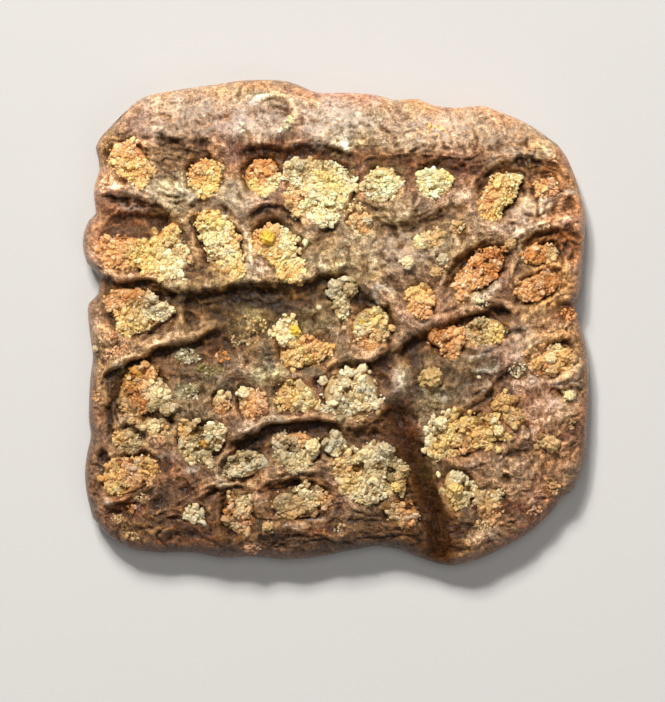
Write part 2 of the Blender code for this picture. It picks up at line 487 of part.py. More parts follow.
def make_plug(name, plate, lobes, recess):
    """One plug of sand: a lumpy top over an underside that follows the pit one gap above it."""
    middle, corners = plug_corners(lobes)
    rings = [middle + (corners - middle) * share for share in (1, PLUG_INNER_RING)]
    plan = np.vstack(rings + [middle[None]])
    n = PLUG_SIDES

    sheet = [(k, (k + 1) % n, n + (k + 1) % n, n + k) for k in range(n)]
    sheet += [(n + k, n + (k + 1) % n, 2 * n) for k in range(n)]
    triangles = [t for f in sheet for t in ([f] if len(f) == 3 else [(f[0], f[1], f[2]), (f[0], f[2], f[3])])]

    # The underside is lifted until every part of each of its faces clears the bone.
    bottom = clear_height(plate, plan) + GAP
    shares = [(a, b, 1 - a - b) for a in np.linspace(0, 1, LIFT_SAMPLES)
              for b in np.linspace(0, 1 - a, LIFT_SAMPLES)]
    for _ in range(LIFT_PASSES):
        for face in triangles:
            samples = np.array([sum(w * plan[k] for w, k in zip(share, face)) for share in shares])
            level = np.array([sum(w * bottom[k] for w, k in zip(share, face)) for share in shares])
            short = float(np.max(clear_height(plate, samples) + GAP - level))
            if short > 0:
                bottom[list(face)] += short
    x, y = plan[:, 0], plan[:, 1]
    spread = np.hypot(*(plan - middle).T) / np.hypot(*(plan - middle).T).max()
    top = plain_level(x, y) - recess - SAND_SAG * spread ** 2 + SAND_LUMP * noise(x, y, SAND_LUMP_CELL, seed=5)
    top = np.maximum(top, bottom + PLUG_EDGE)

    points = np.vstack([np.column_stack([plan, top]), np.column_stack([plan, bottom])])
    under = 2 * n + 1
    faces = list(triangles) + [tuple(under + k for k in reversed(t)) for t in triangles]
    for k in range(n):
        after = (k + 1) % n
        faces += [(k, under + k, under + after), (k, under + after, after)]
    return mesh_object(name, points, faces, SAND_COLOUR, SAND_ROUGHNESS)


for leftover in list(bpy.data.objects):
    bpy.data.objects.remove(leftover)
scute = make_plate()
for pit, (ellipses, depth_below) in SAND.items():
    make_plug(f"sand_{pit}", scute, ellipses, depth_below)
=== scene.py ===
"""Looks of the fossil crocodile scute: the bone's fine surface, and the sand in its pits, grain by grain.

The plan tables follow those of the part's source, in squares of its drawing grid, with more of the folds and
finer outlines of the plugs of sand. The surface follows the solid's too, sampled finely and with small
relief added. Heights, depths and widths are in millimetres, and meshes are made in metres.
"""

import math

import bpy
import numpy as np
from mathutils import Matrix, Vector


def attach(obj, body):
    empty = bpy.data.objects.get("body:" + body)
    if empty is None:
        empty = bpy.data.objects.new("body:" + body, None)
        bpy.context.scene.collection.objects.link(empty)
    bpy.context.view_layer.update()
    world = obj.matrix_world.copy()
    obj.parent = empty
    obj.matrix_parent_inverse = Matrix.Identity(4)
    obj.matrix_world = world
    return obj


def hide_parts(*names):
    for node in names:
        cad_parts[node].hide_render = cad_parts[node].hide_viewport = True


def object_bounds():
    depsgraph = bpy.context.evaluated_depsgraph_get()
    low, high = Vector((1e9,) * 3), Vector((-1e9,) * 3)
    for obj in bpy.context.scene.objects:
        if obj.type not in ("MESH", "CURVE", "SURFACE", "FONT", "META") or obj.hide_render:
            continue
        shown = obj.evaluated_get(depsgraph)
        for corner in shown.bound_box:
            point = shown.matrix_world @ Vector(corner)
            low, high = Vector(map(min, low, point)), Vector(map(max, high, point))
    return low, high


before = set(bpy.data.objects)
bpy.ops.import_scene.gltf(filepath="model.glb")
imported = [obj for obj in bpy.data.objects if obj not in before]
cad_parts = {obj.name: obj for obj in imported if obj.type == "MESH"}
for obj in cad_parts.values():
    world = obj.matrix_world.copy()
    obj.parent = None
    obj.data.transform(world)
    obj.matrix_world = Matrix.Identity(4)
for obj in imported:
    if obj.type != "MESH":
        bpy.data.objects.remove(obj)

CAD_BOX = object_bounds()
HIGHEST = 1020 * CAD_BOX[1][2]  # mm, the level that no grain or wrinkle passes

MM = 0.001
SQUARE = 0.15               # mm, side of one square of the drawing grid
PLAN_CENTRE = (336, 322.5)  # squares, the plan point that lies over the origin
SEED = 11

# The plate's large shapes.
FIELD_LEVEL = 7.0           # mm, mean level of the pitted field at its border
CROWN = 1.8                 # mm, how much the middle of the field stands above that
CROWN_REACH = 46.0          # mm from the middle to where the crown ends
FACET_DROP = 0.3            # mm that the smooth facet lies below the field where they meet
FACET_FALL = 0.08           # mm of fall per mm towards the front edge
FACET_BRINK = (-0.4, 0.5)   # mm in front of the facet's edge between which the level drops to it
RIM_LEVEL = 2.8             # mm, mean level of the widest line round the edge
RIM_WAVE = 0.5              # mm that this line rises and falls
RIM_WAVE_CELL = 8.0         # mm from one rise of it to the next
UPPER_ROUND = 4.2           # mm, width of the rounding above that line
LOWER_ROUND = 3.6           # mm, width of the rounding below it
LUMP_SIDE = (0, 1.2)        # shares of a lump's size between which it falls from its top to nothing

# Pits, folds and ridges.
OUTLINE_STEP = 1.0          # mm between the points of the outline
LINE_STEP = 1.5             # mm between the points of a fold or ridge
LONG_STEP = 2.0             # mm between the points of the facet's edge and of the valley
FOLD_END = 3.0              # mm over which a fold or ridge fades out at each end
LINE_START = -0.5           # mm from its end, where it has faded out
RELIEF_REACH = 3            # widths from a line up to where its relief is worked out
UNEVEN = 0.45               # how much the width of a fold or ridge varies along it
UNEVEN_CELL = 2.4           # mm from one change of width to the next
# How the lines of pits and folds stray: mm of movement, mm between its changes, and the two seeds.
STRAYING = ((0.35, 3.1, 1, 2), (0.3, 1.3, 92, 93))
SHALLOW = 1.0               # mm, depth up to which a pit is a soft hollow
STEEP_WALL = (0.55, 1.08)   # shares of a pit's size between which its wall rises from floor to rim
SOFT_WALL = (0.1, 1.3)      # the same in a soft hollow
STEEP_POWER = 2.2           # makes the steep side of a fold a wall with a crisp top
GENTLE_WIDER = 1.45         # how much wider the gentle side is than in the solid
STEEP_WIDER = 1.3           # the same of the steep side
GENTLE_POWER = 1.7          # makes the gentle side meet that wall in a crease

# The bone's mesh, and the raster on which its heights are kept.
BONE_GRID = (400, 385)      # cells across and along before thinning
BONE_FACES = 188000         # triangles that the thinned bone keeps
EDGE_CROWDING = 0.55        # how much closer the bone's cells lie at the edge than in the middle
SIDE_PLACES = 400           # places on each side of the outline that the grid is drawn between
RASTER_HALF = 40.0          # mm, half the raster's side
RASTER_CELL = 0.16          # mm


# ---------------------------------------------------------------- plan, in squares

# The outline, from the front left corner clockwise. A corner is named where one side ends.
FRONT_SIDE = [
    (120, 117), (133, 103), (147, 95), (170, 90), (212, 84), (245, 79.5), (280, 79.5), (298, 84), (318, 92),
    (345, 92), (375, 94), (395, 99), (417, 98), (432, 104), (455, 107), (482, 105), (498, 110), (530, 124),
    (558, 144),
]
RIGHT_SIDE = [
    (558, 144), (569, 160), (581, 192), (586, 220), (584, 255), (582, 290), (577, 308), (585, 337),
    (589, 365), (590, 395), (588, 425), (586, 455), (580, 477), (571, 493),
]
REAR_SIDE = [
    (571, 493), (562, 498), (550, 514), (528, 534), (502, 549), (478, 560), (450, 566), (425, 560),
    (402, 551), (378, 547), (350, 551), (320, 557), (285, 560), (252, 557), (222, 558), (192, 553),
    (158, 553), (128, 548), (108, 537), (92, 518),
]
LEFT_SIDE = [
    (92, 518), (86, 495), (84, 474), (86, 455), (90, 436), (88, 418), (89, 382), (92, 357), (90, 342),
    (87, 316), (88, 303), (97, 294), (98, 277), (86, 262), (82, 246), (83, 233), (88, 220), (95, 213),
    (93, 197), (94, 184), (99, 169), (98, 160), (95, 147), (99, 138), (107, 129), (120, 117),
]

# The rear edge of the smooth facet.
FACET_EDGE = [
    (80, 138), (112, 136), (140, 143), (160, 140), (185, 148), (205, 143), (240, 146), (270, 143), (300, 141),
    (335, 144), (365, 153), (400, 155), (430, 153), (460, 152), (490, 155), (520, 153), (545, 160),
    (600, 182),
]

# Pits, in rows A to F from the facet to the rear edge: x, y, half length, half width, turn in degrees
# (anticlockwise), depth in mm.
PITS = dict(
    A1=(129, 163, 28, 21, -50, 1.9), A10=(107, 182, 12, 9, 40, 0.4), A2=(205, 177, 23, 20, -50, 1.5),
    A11=(201, 147, 11, 6, 0, 0.9), A3=(262, 173, 24, 22, 0, 1.8), A4=(322, 187, 37, 35, 0, 2.1),
    A5=(381, 184, 20, 20, 0, 1.5), A6=(434, 183, 22, 17, 0, 1.4), A12=(468, 171, 17, 8, 10, 0.8),
    A7=(500, 196, 33, 22, 58, 1.9), A8=(543, 187, 20, 14, 25, 1.0), A13=(558, 173, 10, 8, -20, 0.9),
    A14=(570, 203, 12, 6, -10, 0.9), A9=(272, 115, 26, 17, 8, 0.5),
    B1=(142, 243, 52, 41, -8, 2.2), B2=(220, 241, 38, 26, -58, 2.0), B3=(281, 247, 36, 26, -50, 2.0),
    B4=(359, 222, 16, 14, 0, 1.3), B5=(428, 241, 22, 12, 15, 0.8), B6=(480, 270, 37, 22, 42, 1.9),
    B7=(548, 253, 28, 14, 15, 1.2), B11=(509, 247, 9, 8, 0, 0.6), B8=(539, 288, 32, 17, 22, 1.5),
    B9=(567, 314, 11, 9, 0, 0.8), B10=(570, 250, 12, 13, 0, 1.1), B12=(554, 237, 8, 5, 0, 0.8),
    C1=(138, 314, 46, 27, -12, 1.9), C16=(116, 351, 16, 9, 20, 0.5), C3=(303, 343, 34, 31, -30, 1.6),
    C4=(343, 290, 19, 14, 0, 1.2), C17=(343, 312, 12, 11, 0, 0.9), C5=(369, 328, 22, 25, 0, 1.8),
    C6=(421, 302, 16, 21, 0, 1.3), C7=(447, 341, 24, 18, -20, 1.5), C8=(486, 330, 28, 16, 5, 1.6),
    C9=(553, 361, 28, 18, 5, 1.6), C10=(431, 378, 15, 13, 0, 1.0), C11=(518, 373, 14, 10, 0, 0.8),
    C12=(569, 395, 12, 9, 0, 0.6), C13=(486, 361, 22, 9, -5, 0.7), C14=(472, 379, 26, 9, 0, 0.6),
    C15=(225, 350, 22, 12, 0, 0.6), C18=(170, 298, 20, 8, -10, 0.5), C19=(205, 300, 20, 14, 10, 0.5),
    C2=(319, 382, 9, 10, 0, 1.0),
    D1=(141, 392, 35, 31, 20, 2.1), D11=(160, 422, 17, 15, 0, 1.2), D12=(128, 438, 18, 14, 0, 1.4),
    D2=(188, 356, 15, 10, 0, 0.9), D3=(209, 370, 16, 5, -10, 0.4), D4=(222, 402, 12, 14, 0, 1.1),
    D5=(251, 403, 17, 18, 0, 1.2), D6=(297, 397, 25, 19, -10, 1.4), D7=(351, 394, 33, 29, 0, 1.6),
    D8=(97, 395, 9, 9, 0, 0.5), D10=(190, 393, 12, 6, -35, 0.5),
    E1=(203, 441, 27, 25, 0, 1.6), E2=(243, 466, 25, 18, 15, 1.6), E3=(297, 450, 29, 21, 0, 1.9),
    E4=(333, 444, 17, 15, 0, 1.5), E5=(372, 473, 40, 33, 10, 2.1), E6=(463, 434, 39, 25, 10, 1.6),
    E7=(509, 411, 25, 14, -50, 1.0), E8=(546, 442, 13, 11, 0, 0.8), E9=(571, 425, 9, 8, 0, 0.5),
    E10=(515, 453, 16, 6, -10, 0.8), E11=(168, 465, 7, 11, 0, 0.7), E12=(103, 460, 9, 13, 0, 1.0),
    E13=(316, 477, 11, 8, 0, 0.9),
    F1=(130, 476, 33, 21, 20, 1.8), F2=(143, 498, 9, 7, 0, 0.8), F16=(161, 501, 12, 9, 20, 0.6),
    F17=(190, 489, 15, 8, -20, 0.7), F3=(197, 514, 14, 11, 0, 1.1), F4=(237, 512, 20, 26, 10, 1.5),
    F5=(302, 500, 37, 22, 3, 1.9), F6=(337, 522, 9, 9, 0, 0.7), F7=(401, 512, 23, 15, 10, 1.3),
    F8=(458, 489, 18, 24, 15, 1.4), F9=(490, 507, 20, 22, 0, 0.8), F10=(552, 488, 8, 10, 0, 0.4),
    F11=(533, 511, 14, 9, 30, 0.5), F13=(124, 511, 24, 10, 15, 0.9), F14=(280, 539, 26, 7, 0, 0.7),
    F18=(338, 507, 8, 9, 0, 0.7), F15=(190, 535, 30, 9, 10, 0.7),
)

# Folds: depth, width of the steep side on the left of the line, width of the gentle side (mm), line.
FOLDS = [
    (0.6, 0.5, 1.3, [(110, 136), (130, 140), (142, 148), (150, 160), (153, 172)]),
    (0.6, 0.5, 1.4, [(148, 137), (164, 140), (178, 144), (192, 149)]),
    (0.7, 0.4, 1.0, [(168, 149), (190, 152), (205, 156), (216, 163), (229, 174)]),
    (1.1, 0.8, 1.8, [(234, 151), (262, 152), (286, 157), (300, 152), (320, 150), (338, 154), (354, 162)]),
    (0.8, 0.9, 1.6, [(358, 163), (380, 165), (405, 163), (430, 164), (460, 167), (494, 168)]),
    (0.6, 0.8, 0.8, [(358, 165), (359, 180), (360, 196)]),
    (0.5, 0.8, 0.8, [(408, 165), (408, 180), (412, 192)]),
    (1.0, 0.5, 1.5, [(474, 204), (481, 185), (496, 171), (520, 163), (548, 166), (568, 172)]),
    (1.1, 0.4, 2.0, [(90, 200), (115, 199), (138, 200), (150, 205), (160, 212), (169, 222)]),
    (0.6, 0.5, 1.0, [(188, 207), (206, 202), (226, 209), (242, 224)]),
    (0.9, 0.5, 1.3, [(241, 225), (252, 215), (266, 208), (284, 210), (297, 221), (306, 238)]),
    (0.8, 0.6, 1.4, [(310, 237), (328, 230), (347, 224)]),
    (0.5, 0.5, 0.8, [(347, 212), (362, 206), (374, 213), (382, 226)]),
    (0.8, 0.7, 1.4, [(378, 224), (395, 230), (412, 227), (432, 218), (452, 208), (470, 210)]),
    (1.0, 0.5, 1.5, [(446, 294), (450, 277), (458, 264), (472, 252), (490, 243), (503, 244)]),
    (1.2, 0.6, 1.4, [(516, 252), (530, 241), (546, 235), (562, 233), (582, 240)]),
    (1.6, 0.5, 2.0, [(84, 266), (97, 274), (110, 282), (125, 287), (140, 285), (150, 286), (162, 291),
                     (176, 296), (188, 302)]),
    (1.6, 0.9, 3.0, [(176, 296), (205, 299), (235, 292), (262, 291), (285, 292), (305, 289), (325, 283),
                     (342, 278), (358, 283)]),
    (1.3, 0.6, 1.8, [(346, 283), (358, 293), (370, 302), (382, 309), (389, 322), (388, 340), (380, 354)]),
    (1.5, 0.5, 2.2, [(106, 390), (115, 376), (127, 367), (142, 360), (161, 352), (181, 347), (201, 342),
                     (215, 334), (221, 321)]),
    (1.5, 0.5, 2.2, [(388, 356), (405, 347), (422, 338), (440, 328), (457, 322), (476, 317), (491, 312),
                     (506, 314), (518, 324)]),
    (1.3, 0.5, 1.4, [(350, 366), (370, 365), (386, 359), (398, 347)]),
    (1.0, 0.6, 1.2, [(522, 364), (535, 352), (548, 346), (562, 342), (580, 350)]),
    (0.8, 0.6, 1.2, [(460, 412), (480, 403), (492, 392), (503, 376), (522, 364)]),
    (1.7, 0.6, 2.3, [(222, 452), (240, 443), (256, 435), (270, 428), (300, 425), (320, 423), (338, 427),
                     (352, 431)]),
    (1.0, 0.6, 1.4, [(338, 427), (358, 432), (378, 433), (394, 441)]),
    (0.9, 0.5, 1.2, [(388, 436), (401, 450), (408, 466)]),
    (0.8, 0.5, 1.2, [(112, 457), (130, 456), (150, 456), (161, 463), (168, 474)]),
    (0.9, 0.4, 1.3, [(106, 506), (124, 503), (134, 495), (146, 491), (158, 494)]),
    (1.0, 0.5, 1.6, [(198, 501), (212, 495), (226, 490), (240, 488), (256, 492)]),
    (1.2, 0.6, 1.6, [(258, 496), (272, 485), (290, 480), (306, 482), (326, 486), (340, 494)]),
    (0.9, 0.5, 1.2, [(325, 373), (342, 366), (368, 367), (385, 379), (391, 398)]),
    (1.5, 2.6, 2.6, [(388, 398), (398, 428), (410, 458), (424, 490), (432, 520), (440, 548), (446, 568)]),
    (0.9, 0.6, 0.8, [(117, 374), (112, 386), (115, 398), (109, 412), (115, 428), (106, 448)]),
    (0.5, 0.4, 0.8, [(440, 366), (449, 376), (448, 389), (438, 398)]),
    (0.5, 0.4, 0.8, [(452, 362), (468, 357), (486, 361), (496, 370)]),
    (0.6, 0.4, 0.8, [(414, 346), (418, 364), (416, 384), (407, 397)]),
    (0.4, 0.4, 0.7, [(460, 382), (472, 376), (484, 380)]),
    (1.0, 0.5, 1.0, [(545, 306), (562, 305), (584, 304)]),
    (0.5, 0.5, 0.8, [(86, 343), (106, 347), (126, 345)]),
    (0.6, 0.4, 0.8, [(93, 156), (103, 166), (112, 177)]),
    (0.7, 0.5, 1.0, [(150, 523), (172, 520), (196, 526)]),
    (0.7, 0.4, 0.8, [(544, 388), (560, 388), (576, 385)]),
    (0.6, 0.5, 1.2, [(160, 372), (185, 378), (205, 372)]),
]

# Ridges: height, half width (mm), line.
RIDGES = [
    (0.5, 1.2, [(94, 192), (120, 190), (146, 195), (166, 206), (184, 222)]),
    (0.6, 1.0, [(92, 266), (112, 275), (140, 275), (158, 282), (176, 288), (196, 282)]),
    (0.7, 0.9, [(112, 366), (128, 357), (144, 350), (164, 342), (186, 336), (208, 328)]),
    (0.6, 0.6, [(350, 359), (370, 356), (383, 348)]),
    (0.3, 0.8, [(372, 280), (386, 291), (396, 304), (402, 322)]),
    (0.6, 0.8, [(230, 440), (250, 430), (268, 422), (290, 420), (316, 413)]),
    (0.6, 0.9, [(324, 418), (345, 422), (366, 421), (382, 411), (391, 398)]),
    (0.8, 0.7, [(96, 497), (110, 500), (124, 497), (136, 487), (147, 482)]),
    (0.6, 0.5, [(405, 466), (412, 481), (421, 498)]),
    (0.42, 1.0, [(500, 240), (530, 229), (555, 222), (584, 215)]),
    (0.7, 1.1, [(496, 366), (518, 354), (540, 341), (562, 333)]),
    (0.5, 0.7, [(543, 382), (560, 375), (577, 369)]),
    (0.5, 1.0, [(462, 306), (480, 299), (496, 290), (506, 284)]),
    (0.5, 0.8, [(98, 429), (110, 421), (124, 420)]),
    (0.6, 0.7, [(126, 452), (138, 445), (152, 439), (178, 438)]),
    (0.5, 1.0, [(168, 514), (184, 500), (202, 490), (222, 482), (244, 480)]),
    (0.5, 0.8, [(268, 523), (284, 524), (302, 523)]),
    (0.5, 0.6, [(142, 533), (156, 530), (168, 522), (178, 521)]),
    (0.5, 0.6, [(148, 550), (158, 542), (166, 535)]),
    (0.5, 0.7, [(280, 472), (300, 467), (322, 461)]),
    (0.5, 0.5, [(507, 286), (511, 271), (519, 252)]),
    (0.5, 0.6, [(526, 436), (533, 430), (544, 424)]),
    (0.5, 1.0, [(438, 472), (444, 498), (452, 526)]),
    (0.2, 0.8, [(352, 250), (380, 262), (404, 285), (410, 318)]),
    (0.5, 0.6, [(402, 170), (420, 164), (441, 159)]),
    (0.4, 0.6, [(164, 174), (184, 193), (205, 199)]),
    (0.5, 0.8, [(250, 224), (248, 250), (250, 280)]),
    (0.5, 0.7, [(334, 480), (346, 491), (352, 502), (356, 513)]),
    (0.4, 0.6, [(146, 126), (160, 128), (176, 133)]),
    (0.4, 0.6, [(548, 384), (562, 378), (576, 371)]),
]

# Thin ridges (height above 0) and creases (below 0): height and half width in mm, line.
FINE_LINES = [
    (0.28, 0.5, [(255, 116), (254, 105), (262, 97), (274, 94), (286, 96), (295, 103), (297, 113), (292, 124),
                (282, 132)]),
    (-0.35, 0.35, [(262, 106), (270, 101), (280, 101), (290, 106)]),
    (-0.4, 0.35, [(268, 114), (276, 108), (287, 110), (291, 116)]),
    (-0.3, 0.4, [(256, 119), (262, 127), (272, 131)]),
    (0.4, 0.5, [(270, 400), (271, 412), (275, 421), (292, 422), (306, 418)]),
    (0.4, 0.4, [(389, 306), (390, 322), (387, 336), (380, 348), (368, 356)]),
    (-0.4, 0.4, [(125, 497), (134, 491), (144, 489)]),
    (-0.3, 0.3, [(306, 543), (312, 539), (320, 540), (325, 545)]),
    (0.3, 0.3, [(405, 466), (410, 480), (417, 494), (424, 506)]),
    (-0.4, 0.5, [(484, 168), (476, 182), (472, 196)]),
    (-0.3, 0.4, [(452, 226), (458, 223), (464, 227), (463, 233), (455, 235)]),
]

# Rounded lumps of bone: x, y, half length, half width, turn, height in mm.
LUMPS = [
    (345, 148, 20, 10, 0, 0.4), (399, 381, 13, 16, 0, 0.6), (258, 200, 16, 12, 0, 0.4),
    (172, 190, 18, 16, 0, 0.5), (330, 255, 34, 16, 20, 0.5), (400, 212, 20, 10, 0, 0.4),
    (200, 312, 26, 14, 20, 0.3), (250, 320, 22, 26, 0, 0.4), (448, 385, 16, 10, 20, 0.4),
    (488, 386, 10, 6, 0, 0.4), (190, 400, 18, 16, 0, 0.5), (272, 372, 30, 12, 0, 0.4),
    (104, 340, 12, 20, 0, 0.4), (520, 480, 26, 30, 0, 0.5), (470, 545, 34, 16, 15, 0.5),
    (360, 535, 40, 12, 0, 0.4), (240, 540, 40, 12, 0, 0.4), (526, 330, 14, 20, 0, 0.5),
    (315, 329, 14, 9, 0, 0.4), (545, 405, 20, 10, 0, 0.4), (440, 400, 22, 8, 0, 0.4),
    (230, 372, 20, 10, 0, 0.4), (276, 215, 10, 8, 0, 0.3),
]

# Sand: the ellipses that make up a plug (x, y, half length, half width, turn), and how far the middle of
# its top lies below the level of the bone round it, in mm.
SAND = dict(
    A1=([(130, 163, 23, 17, -50)], 0.5), A2=([(206, 177, 17, 16, -25)], 0.7),
    A3=([(262, 178, 17, 17, 0)], 0.6), A4=([(322, 191, 31, 30, 0), (300, 172, 13, 11, 0)], 0.35),
    A5=([(382, 185, 17, 17, 0)], 0.3), A6=([(434, 184, 18, 14, 0)], 0.3),
    A7=([(508, 183, 14, 9, 20), (491, 204, 21, 13, 62)], 0.5), A8=([(545, 188, 12, 8, 30)], 0.4),
    B1=([(122, 252, 25, 15, 0), (162, 260, 27, 17, -10), (172, 236, 8, 15, 0)], 0.8),
    B2=([(212, 224, 16, 14, -40), (224, 251, 25, 17, -62)], 0.45),
    B3=([(275, 243, 19, 15, -25), (287, 263, 18, 12, -60)], 0.6), B4=([(359, 223, 12, 11, 0)], 0.4),
    B5=([(427, 241, 17, 8, 20)], 0.3), B6=([(478, 271, 29, 13, 42)], 0.5), B7=([(540, 255, 17, 9, 12)], 0.5),
    B8=([(537, 287, 25, 12, 25)], 0.5),
    C1=([(126, 300, 21, 12, 0), (138, 320, 20, 14, 10), (157, 311, 13, 10, 0)], 0.6),
    C3=([(288, 333, 10, 18, 5), (306, 353, 25, 13, 10)], 0.4),
    C4=([(343, 289, 15, 11, 0), (342, 309, 8, 12, 0)], 0.3), C5=([(369, 329, 17, 21, 0)], 0.5),
    C6=([(420, 302, 12, 17, 0)], 0.3), C7=([(446, 336, 20, 10, 5), (450, 349, 10, 9, 0)], 0.4),
    C8=([(484, 331, 21, 13, 0)], 0.5), C9=([(552, 360, 24, 14, 0)], 0.5), C10=([(431, 378, 11, 10, 0)], 0.2),
    D1=([(142, 388, 19, 22, 0), (130, 403, 11, 13, 0), (159, 398, 13, 12, 0)], 0.5),
    D11=([(158, 425, 13, 10, 0)], 0.4), D12=([(127, 439, 13, 11, 0)], 0.5), D4=([(222, 403, 9, 11, 0)], 0.3),
    D5=([(253, 404, 13, 14, 0), (244, 393, 6, 6, 0)], 0.3), D6=([(297, 397, 20, 15, -10)], 0.3),
    D7=([(351, 394, 27, 26, 0)], 0.2),
    E1=([(190, 441, 10, 20, 5), (214, 435, 13, 14, -30), (198, 454, 13, 7, 0)], 0.4),
    E2=([(244, 464, 19, 13, 15)], 0.6), E3=([(296, 450, 23, 18, 0)], 0.5), E4=([(335, 444, 12, 12, 0)], 0.5),
    E5=([(368, 473, 23, 21, 0), (378, 453, 15, 11, -10), (348, 469, 12, 12, 0), (397, 474, 11, 13, 0),
        (364, 491, 15, 11, 0)], 0.4), E6=([(468, 434, 31, 18, 10), (444, 438, 14, 15, 0)], 0.3),
    E7=([(503, 402, 11, 9, 0), (513, 417, 11, 11, 0)], 0.2), E8=([(545, 442, 9, 8, 0)], 0.3),
    F1=([(128, 474, 20, 17, 0), (149, 468, 11, 12, 0), (117, 486, 10, 8, 0)], 0.5),
    F3=([(195, 514, 9, 8, 0)], 0.3), F4=([(238, 512, 13, 22, 10)], 0.5), F5=([(301, 502, 29, 15, 3)], 0.6),
    F7=([(402, 513, 16, 11, 0)], 0.4), F8=([(457, 489, 13, 20, 15)], 0.4),
    F9=([(489, 505, 13, 17, -10)], 0.2),
)

# How much coarser the sand is in each row than in row A.
COARSER = dict(A=1.0, B=1.04, C=1.12, D=1.18, E=1.22, F=1.2)

# Holes in the sand, where grains have fallen out: x, y, half length, half width, turn.
HOLES = [
    (347, 390, 5.5, 5.5, 0), (352, 378, 3, 2.5, 0), (338, 378, 2.5, 2, 0), (362, 413, 5, 2.5, 0),
    (307, 341, 4, 3, 0), (359, 467, 8, 5, 15), (391, 470, 5, 4, 0), (370, 476, 3, 2, 0),
    (372, 485, 3, 2.5, 0), (291, 447, 7, 5, 0), (198, 431, 6, 5, 0), (249, 460, 4, 5, 0), (246, 162, 5, 5, 0),
    (253, 171, 3, 2, 0), (226, 504, 4, 5, 0), (232, 515, 2, 3, 0), (276, 432, 6, 4, 30), (151, 257, 3, 3, 0),
    (172, 247, 3, 4, 0), (214, 262, 3, 3, 0), (144, 381, 3, 2, 0), (131, 396, 3, 3, 0), (437, 424, 2, 2, 0),
    (459, 447, 6, 2, 0), (480, 448, 5, 2, 0), (374, 318, 3, 2, 0), (486, 262, 3, 3, 0), (474, 268, 3, 2, 0),
    (539, 291, 5, 2, 20), (302, 199, 3, 3, 0), (328, 207, 4, 2, 0), (432, 190, 5, 2, 0), (378, 178, 4, 2, 0),
    (312, 487, 5, 3, 0), (285, 489, 5, 3, 0), (319, 507, 3, 3, 0), (408, 506, 6, 3, 0), (459, 482, 3, 2, 0),
    (480, 329, 4, 3, 0), (445, 342, 3, 3, 0),
]

# The middle of the smooth valley, from its head to the rear edge.
SMOOTH_VALLEY = [(402, 440), (408, 452), (414, 465), (426, 495), (436, 525), (444, 560)]


# ---------------------------------------------------------------- colours

def rgb(hex_colour):
    """Linear red, green and blue of a screen colour."""
    values = [int(hex_colour[k:k + 2], 16) / 255 for k in (0, 2, 4)]
    return tuple(v / 12.92 if v <= 0.04045 else ((v + 0.055) / 1.055) ** 2.4 for v in values)


# The colour of each tone of sand.
TONES = {name: rgb(colour) for name, colour in dict(
    cream="f0d8a4", pale="f2dcb0", yellow="ecc880", gold="e8ba78", amber="e2aa72", rust="c8884c",
    peach="e8b084", tan="d0ac78", olive="baa478", grey="ccbc98", lemon="ecc850", khaki="c8a870",
    mustard="c8943c", moss="8a7c46", white="f8e8c8").items()}

